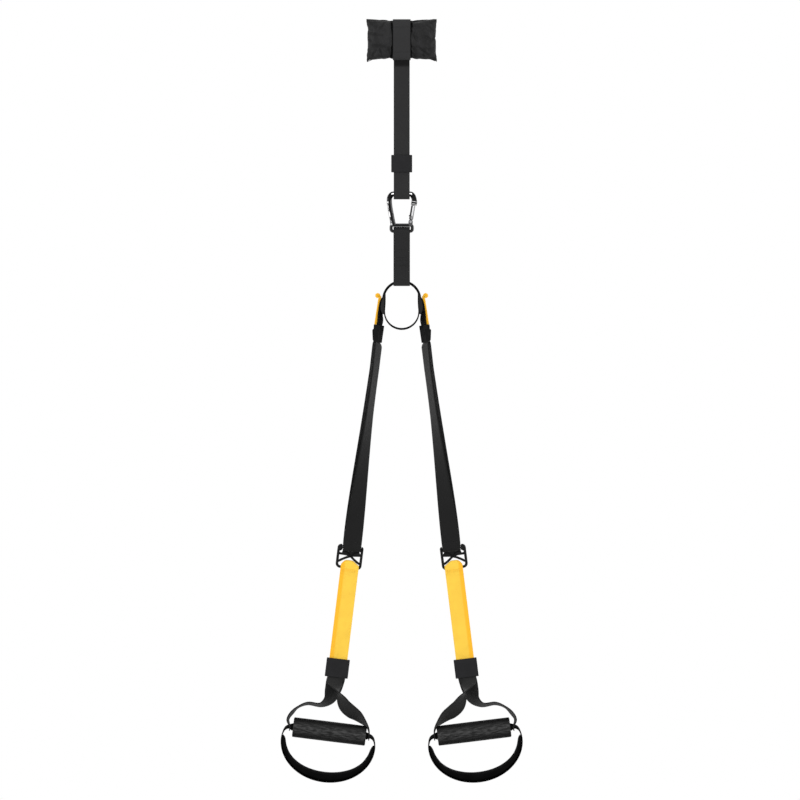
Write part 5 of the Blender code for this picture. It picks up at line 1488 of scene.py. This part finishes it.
class TRAINER_OT_handles(TrainerStep, bpy.types.Operator):
    """Makes both handles: their webbing arms and the foam grips"""
    bl_idname = "trainer.handles"
    bl_label = "Handles"

    def execute(self, context):
        web, grips = context.scene.trainer_webbing, context.scene.trainer_handles
        for tag, side in SIDES:
            self.arm(f"arm_inner_{tag}", side, -1, INNER, web, tag)
            self.arm(f"arm_outer_{tag}", side, 1, OUTER, web, tag)
            self.foam(tag, side, grips)
            for node in ("core", "cap_inner", "cap_outer"):
                wear(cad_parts[f"grip_{node}_{tag}"].data, "tube")
        return {"FINISHED"}

    def arm(self, node, side, way, shares, web, tag):
        """Webbing from the sleeve to its eyed end beside the grip."""
        ply = (web.thickness + CLEAR) / 2
        fall = GRIP_DROP - (YELLOW_END + CLEAR)
        points = [(ARM_OUT * r, GRIP_DROP - fall * f, t * QUARTER_TURN, web.width / 2 * b)
                  for r, f, t, b in zip(*shares)]
        points.append((way * ARM_OUT, GRIP_DROP + 0.0080, QUARTER_TURN, 0.0))
        line = smooth_line(points, 8)
        stations = []
        for k, (x, s, angle, back) in enumerate(line):
            run = heading(line, k)
            share = k / (len(line) - 1)
            width = web.width + (0.025 - web.width) * eased(max(0.0, (share - 0.55) / 0.45))
            depth = way * ply * (1 - limit((share - 0.45) / 0.3)) + back
            across = Vector((run.z * math.cos(angle), -math.sin(angle), -run.x * math.cos(angle)))
            stations.append((leg_point(side, x, depth, s), leg_way(side, *across).normalized(), width))
        piece = strap(f"{node}_webbing", stations, web.thickness)
        turn = leg_way(side, 1.0, 0.0, 0.0).to_track_quat("Z", "Y").to_euler()
        deselect()
        bpy.ops.mesh.primitive_cylinder_add(vertices=32, radius=0.0064, depth=0.008,
                                            location=leg_point(side, way * ARM_OUT, 0.0, GRIP_DROP), rotation=turn)
        drill = bpy.context.object
        eye = piece.modifiers.new("eye", "BOOLEAN")
        eye.operation, eye.solver, eye.object = "DIFFERENCE", "EXACT", drill
        apply_all(piece)
        bpy.data.objects.remove(drill, do_unlink=True)
        smooth(piece, 45)
        ride(piece, f"hanger_{tag}", "webbing_grey", "handle", node)

    def foam(self, tag, side, grips):
        """The foam sleeve, softly rounded at both ends."""
        half, radius, bore, seat = grips.grip_half, grips.grip_radius, 0.0163, 0.0197
        end = [(bore, half), (seat, half), (seat, half + 0.0021), (seat + 0.0003, half + 0.0025),
               (radius - 0.0003, half + 0.0023), (radius, half + 0.0014)]
        outline = [(size, -place) for size, place in end]
        outline += [(radius + 0.0002 * math.sin(HALF_TURN * k / 8), half * (k / 4 - 1)) for k in range(9)]
        outline += list(reversed(end))
        rings = [[leg_point(side, place, size * math.cos(a), GRIP_DROP + size * math.sin(a)) for a in angles(64)]
                 for size, place in outline]
        piece = tube(f"grip_foam_{tag}_sleeve", rings, closed=True)
        ride(piece, f"grip_{tag}", "grip_foam", "foam", f"grip_foam_{tag}")


# Foot cradles

CRADLE_DROP = 0.0250                       # from the grip's axis to the cradle's widest line


def cradle_line(inset, angle):
    """The sling's line outward and down, at an angle round it and inside its outer face."""
    return (0.0998 - inset) * math.cos(angle), GRIP_DROP + CRADLE_DROP + (0.0819 - inset) * math.sin(angle)


def oval(side, centre, run, half_wide, half_thick, sides):
    """A ring across a strap that runs along a direction."""
    return [leg_point(side, centre[0] + run.z * half_thick * math.sin(a), half_wide * math.cos(a),
                      centre[1] - run.x * half_thick * math.sin(a)) for a in angles(sides)]


class TRAINER_OT_cradles(TrainerStep, bpy.types.Operator):
    """Makes both foot cradles: the webbing that runs through the grip and the padded sling"""
    bl_idname = "trainer.cradles"
    bl_label = "Foot Cradles"

    def execute(self, context):
        web = context.scene.trainer_webbing
        for tag, side in SIDES:
            self.webbing(tag, side, web)
            self.pad(tag, side)
        return {"FINISHED"}

    def webbing(self, tag, side, web):
        """The webbing, gathered where it runs through the grip and flat round the sling."""
        out = ARM_OUT + web.thickness / 2 + CLEAR
        half, bunched, fullest = 0.0012, 0.006, 1.25
        points = [(0.0, GRIP_DROP, 1.0), (out * 0.5, GRIP_DROP, 1.0), (0.0768, GRIP_DROP, 1.0),
                  (0.0774, GRIP_DROP, fullest), (out, GRIP_DROP, 0.85)]
        corner = cradle_line(half, 0.0)
        points += [(out + (corner[0] - out) * 0.45, GRIP_DROP + CRADLE_DROP * 0.12, 0.62),
                   (out + (corner[0] - out) * 0.80, GRIP_DROP + CRADLE_DROP * 0.42, 0.25)]
        arch = [(*cradle_line(half, HALF_TURN * k / 14), 0.0) for k in range(15)]
        loop = points + arch + [(-x, s, g) for x, s, g in reversed(points[1:])]
        line = smooth_line(loop + loop[:1], 4)[:-1]
        rings = []
        for k, (x, s, gather) in enumerate(line):
            gather = limit(gather, 0.0, fullest)
            wide = web.width / 2 + (bunched - web.width / 2) * min(1.0, gather) ** 0.7
            thick = half + (bunched - half) * gather ** 1.6
            rings.append(oval(side, (x, s), heading(line, k, True), wide, thick, 20))
        piece = tube(f"cradle_webbing_{tag}", rings, closed=True)
        ride(piece, f"foot_cradle_{tag}", "webbing_black", "ring", f"cradle_web_{tag}")

    def pad(self, tag, side):
        """The padded sling, fullest at its lowest."""
        steps, start = 48, -0.085
        rings = []
        for k in range(steps + 1):
            share = k / steps
            angle = start + (HALF_TURN - 2 * start) * share
            end = min(1.0, min(share, 1 - share) * steps / 1.5)
            thick = (0.0088 + 0.0102 * math.sin(HALF_TURN * share) ** 1.5) * (0.55 + 0.45 * end ** 0.5)
            inset = 0.0020 + thick / 2
            run = direction(cradle_line(inset, angle - 0.01), cradle_line(inset, angle + 0.01))
            half_wide = 0.0222 * (0.86 + 0.14 * end)
            rings.append(oval(side, cradle_line(inset, angle), run, half_wide, thick / 2 - 0.0002, 24))
        piece = tube(f"cradle_pad_{tag}_cloth", rings)
        remesh(piece, 0.004)
        let_swell(piece, 2.0, 0.0010, frames=12)
        refine(piece)
        smooth(piece, 180)
        ride(piece, f"foot_cradle_{tag}", "cradle_fabric", "knit", f"cradle_pad_{tag}")


# Stage

class TRAINER_OT_stage(TrainerStep, bpy.types.Operator):
    """Sets the floor, the soft light and the camera"""
    bl_idname = "trainer.stage"
    bl_label = "Stage"

    def execute(self, context):
        stage, scene = context.scene.trainer_stage, context.scene
        self.floor(stage)
        self.sky(scene, stage)
        for name, place, size, power in (
                ("lamp_left", (-3.0, -1.1, -0.2), (2.4, 3.0), stage.side_power),
                ("lamp_right", (3.0, -1.1, -0.2), (2.4, 3.0), stage.side_power),
                ("lamp_front", (0.0, -3.6, 0.4), (2.4, 2.4), stage.front_power),
                ("lamp_top", (0.0, -0.6, 2.2), (2.0, 2.0), stage.top_power)):
            self.lamp(name, place, size, power)
        self.camera(scene, stage)
        scene.view_settings.view_transform = "Standard"
        return {"FINISHED"}

    def floor(self, stage):
        """A pale floor that takes the object's shadow and fades to white further out."""
        deselect()
        bpy.ops.mesh.primitive_plane_add(size=60.0, location=(0.0, 0.0, stage.floor_height))
        floor = bpy.context.object
        floor.name = "floor"
        graph = Graph("floor_pale", (0.9, 0.9, 0.9), 0.9, specular=0.1)
        glow = graph.add("Emission", {"Color": WHITE})
        away = graph.add("VectorMath", {0: graph.place()}, operation="LENGTH").outputs["Value"]
        share = graph.times(graph.seen(), graph.between(away, 1.2, 3.2, 0.86, 1.0))
        blend = graph.add("MixShader", {0: share, 1: graph.shader.outputs[0], 2: glow.outputs[0]})
        graph.put(graph.nodes["Material Output"].inputs[0], blend.outputs[0])
        floor.data.materials.append(graph.material)

    def sky(self, scene, stage):
        """Even soft light from all round, seen as white."""
        scene.world = bpy.data.worlds.new("studio")
        scene.world.use_nodes = True
        graph = Nodes(scene.world.node_tree)
        graph.nodes.clear()
        soft, white = (graph.add("Background", {"Color": WHITE, "Strength": strength}).outputs[0]
                       for strength in (stage.sky, 1.0))
        mixed = graph.add("MixShader", {0: graph.seen(), 1: soft, 2: white})
        graph.add("OutputWorld", {0: mixed.outputs[0]})

    def lamp(self, name, place, size, power):
        """A soft lamp aimed at the trainer's middle."""
        light = bpy.data.lights.new(name, "AREA")
        light.shape = "RECTANGLE"
        light.size, light.size_y = size
        light.energy = power
        obj = linked(name, light)
        obj.location = place
        obj.rotation_euler = (Vector((0.0, 0.0, -0.70)) - Vector(place)).to_track_quat("-Z", "Y").to_euler()

    def camera(self, scene, stage):
        """Straight at the front through a long lens, framed as 800 by 800."""
        frame_size, middle_x, top_y = 800, 401.7, 64
        data = bpy.data.cameras.new("front_camera")
        data.lens = stage.lens
        data.sensor_width = 36.0
        data.clip_end = 100.0
        distance = stage.pixel * frame_size * stage.lens / data.sensor_width
        scene.camera = linked("front_camera", data)
        scene.camera.location = ((frame_size / 2 - middle_x) * stage.pixel, -distance,
                                 (top_y - frame_size / 2) * stage.pixel)
        scene.camera.rotation_euler = FACING


class TRAINER_PT_panel(bpy.types.Panel):
    """Lists the pieces and their settings"""
    bl_idname = "TRAINER_PT_panel"
    bl_label = "Suspension Trainer"
    bl_space_type = "VIEW_3D"
    bl_region_type = "UI"
    bl_category = "Trainer"

    def draw(self, context):
        layout = self.layout
        for operator in operators:
            layout.operator(operator.bl_idname)
        for group in ("trainer_webbing", "trainer_pad", "trainer_metal", "trainer_handles", "trainer_stage"):
            box = layout.box()
            settings = getattr(context.scene, group)
            for name in settings.bl_rna.properties.keys():
                if name not in ("rna_type", "name"):
                    box.prop(settings, name)


operators = (TRAINER_OT_stage, TRAINER_OT_anchor_strap, TRAINER_OT_lower_strap, TRAINER_OT_door_pad,
             TRAINER_OT_carabiner, TRAINER_OT_equaliser, TRAINER_OT_legs, TRAINER_OT_buckles, TRAINER_OT_links,
             TRAINER_OT_handles, TRAINER_OT_cradles)
groups = {"trainer_webbing": TrainerWebbing, "trainer_pad": TrainerPad, "trainer_metal": TrainerMetal,
          "trainer_handles": TrainerHandles, "trainer_stage": TrainerStage}


def register():
    for kind in groups.values():
        bpy.utils.register_class(kind)
    for name, kind in groups.items():
        setattr(bpy.types.Scene, name, PointerProperty(type=kind))
    for kind in operators:
        bpy.utils.register_class(kind)
    bpy.utils.register_class(TRAINER_PT_panel)


def unregister():
    bpy.utils.unregister_class(TRAINER_PT_panel)
    for kind in reversed(operators):
        bpy.utils.unregister_class(kind)
    for name in groups:
        delattr(bpy.types.Scene, name)
    for kind in reversed(list(groups.values())):
        bpy.utils.unregister_class(kind)


def main():
    register()
    for kind in operators:
        area, name = kind.bl_idname.split(".")
        getattr(getattr(bpy.ops, area), name)()


if __name__ == "__main__":
    main()
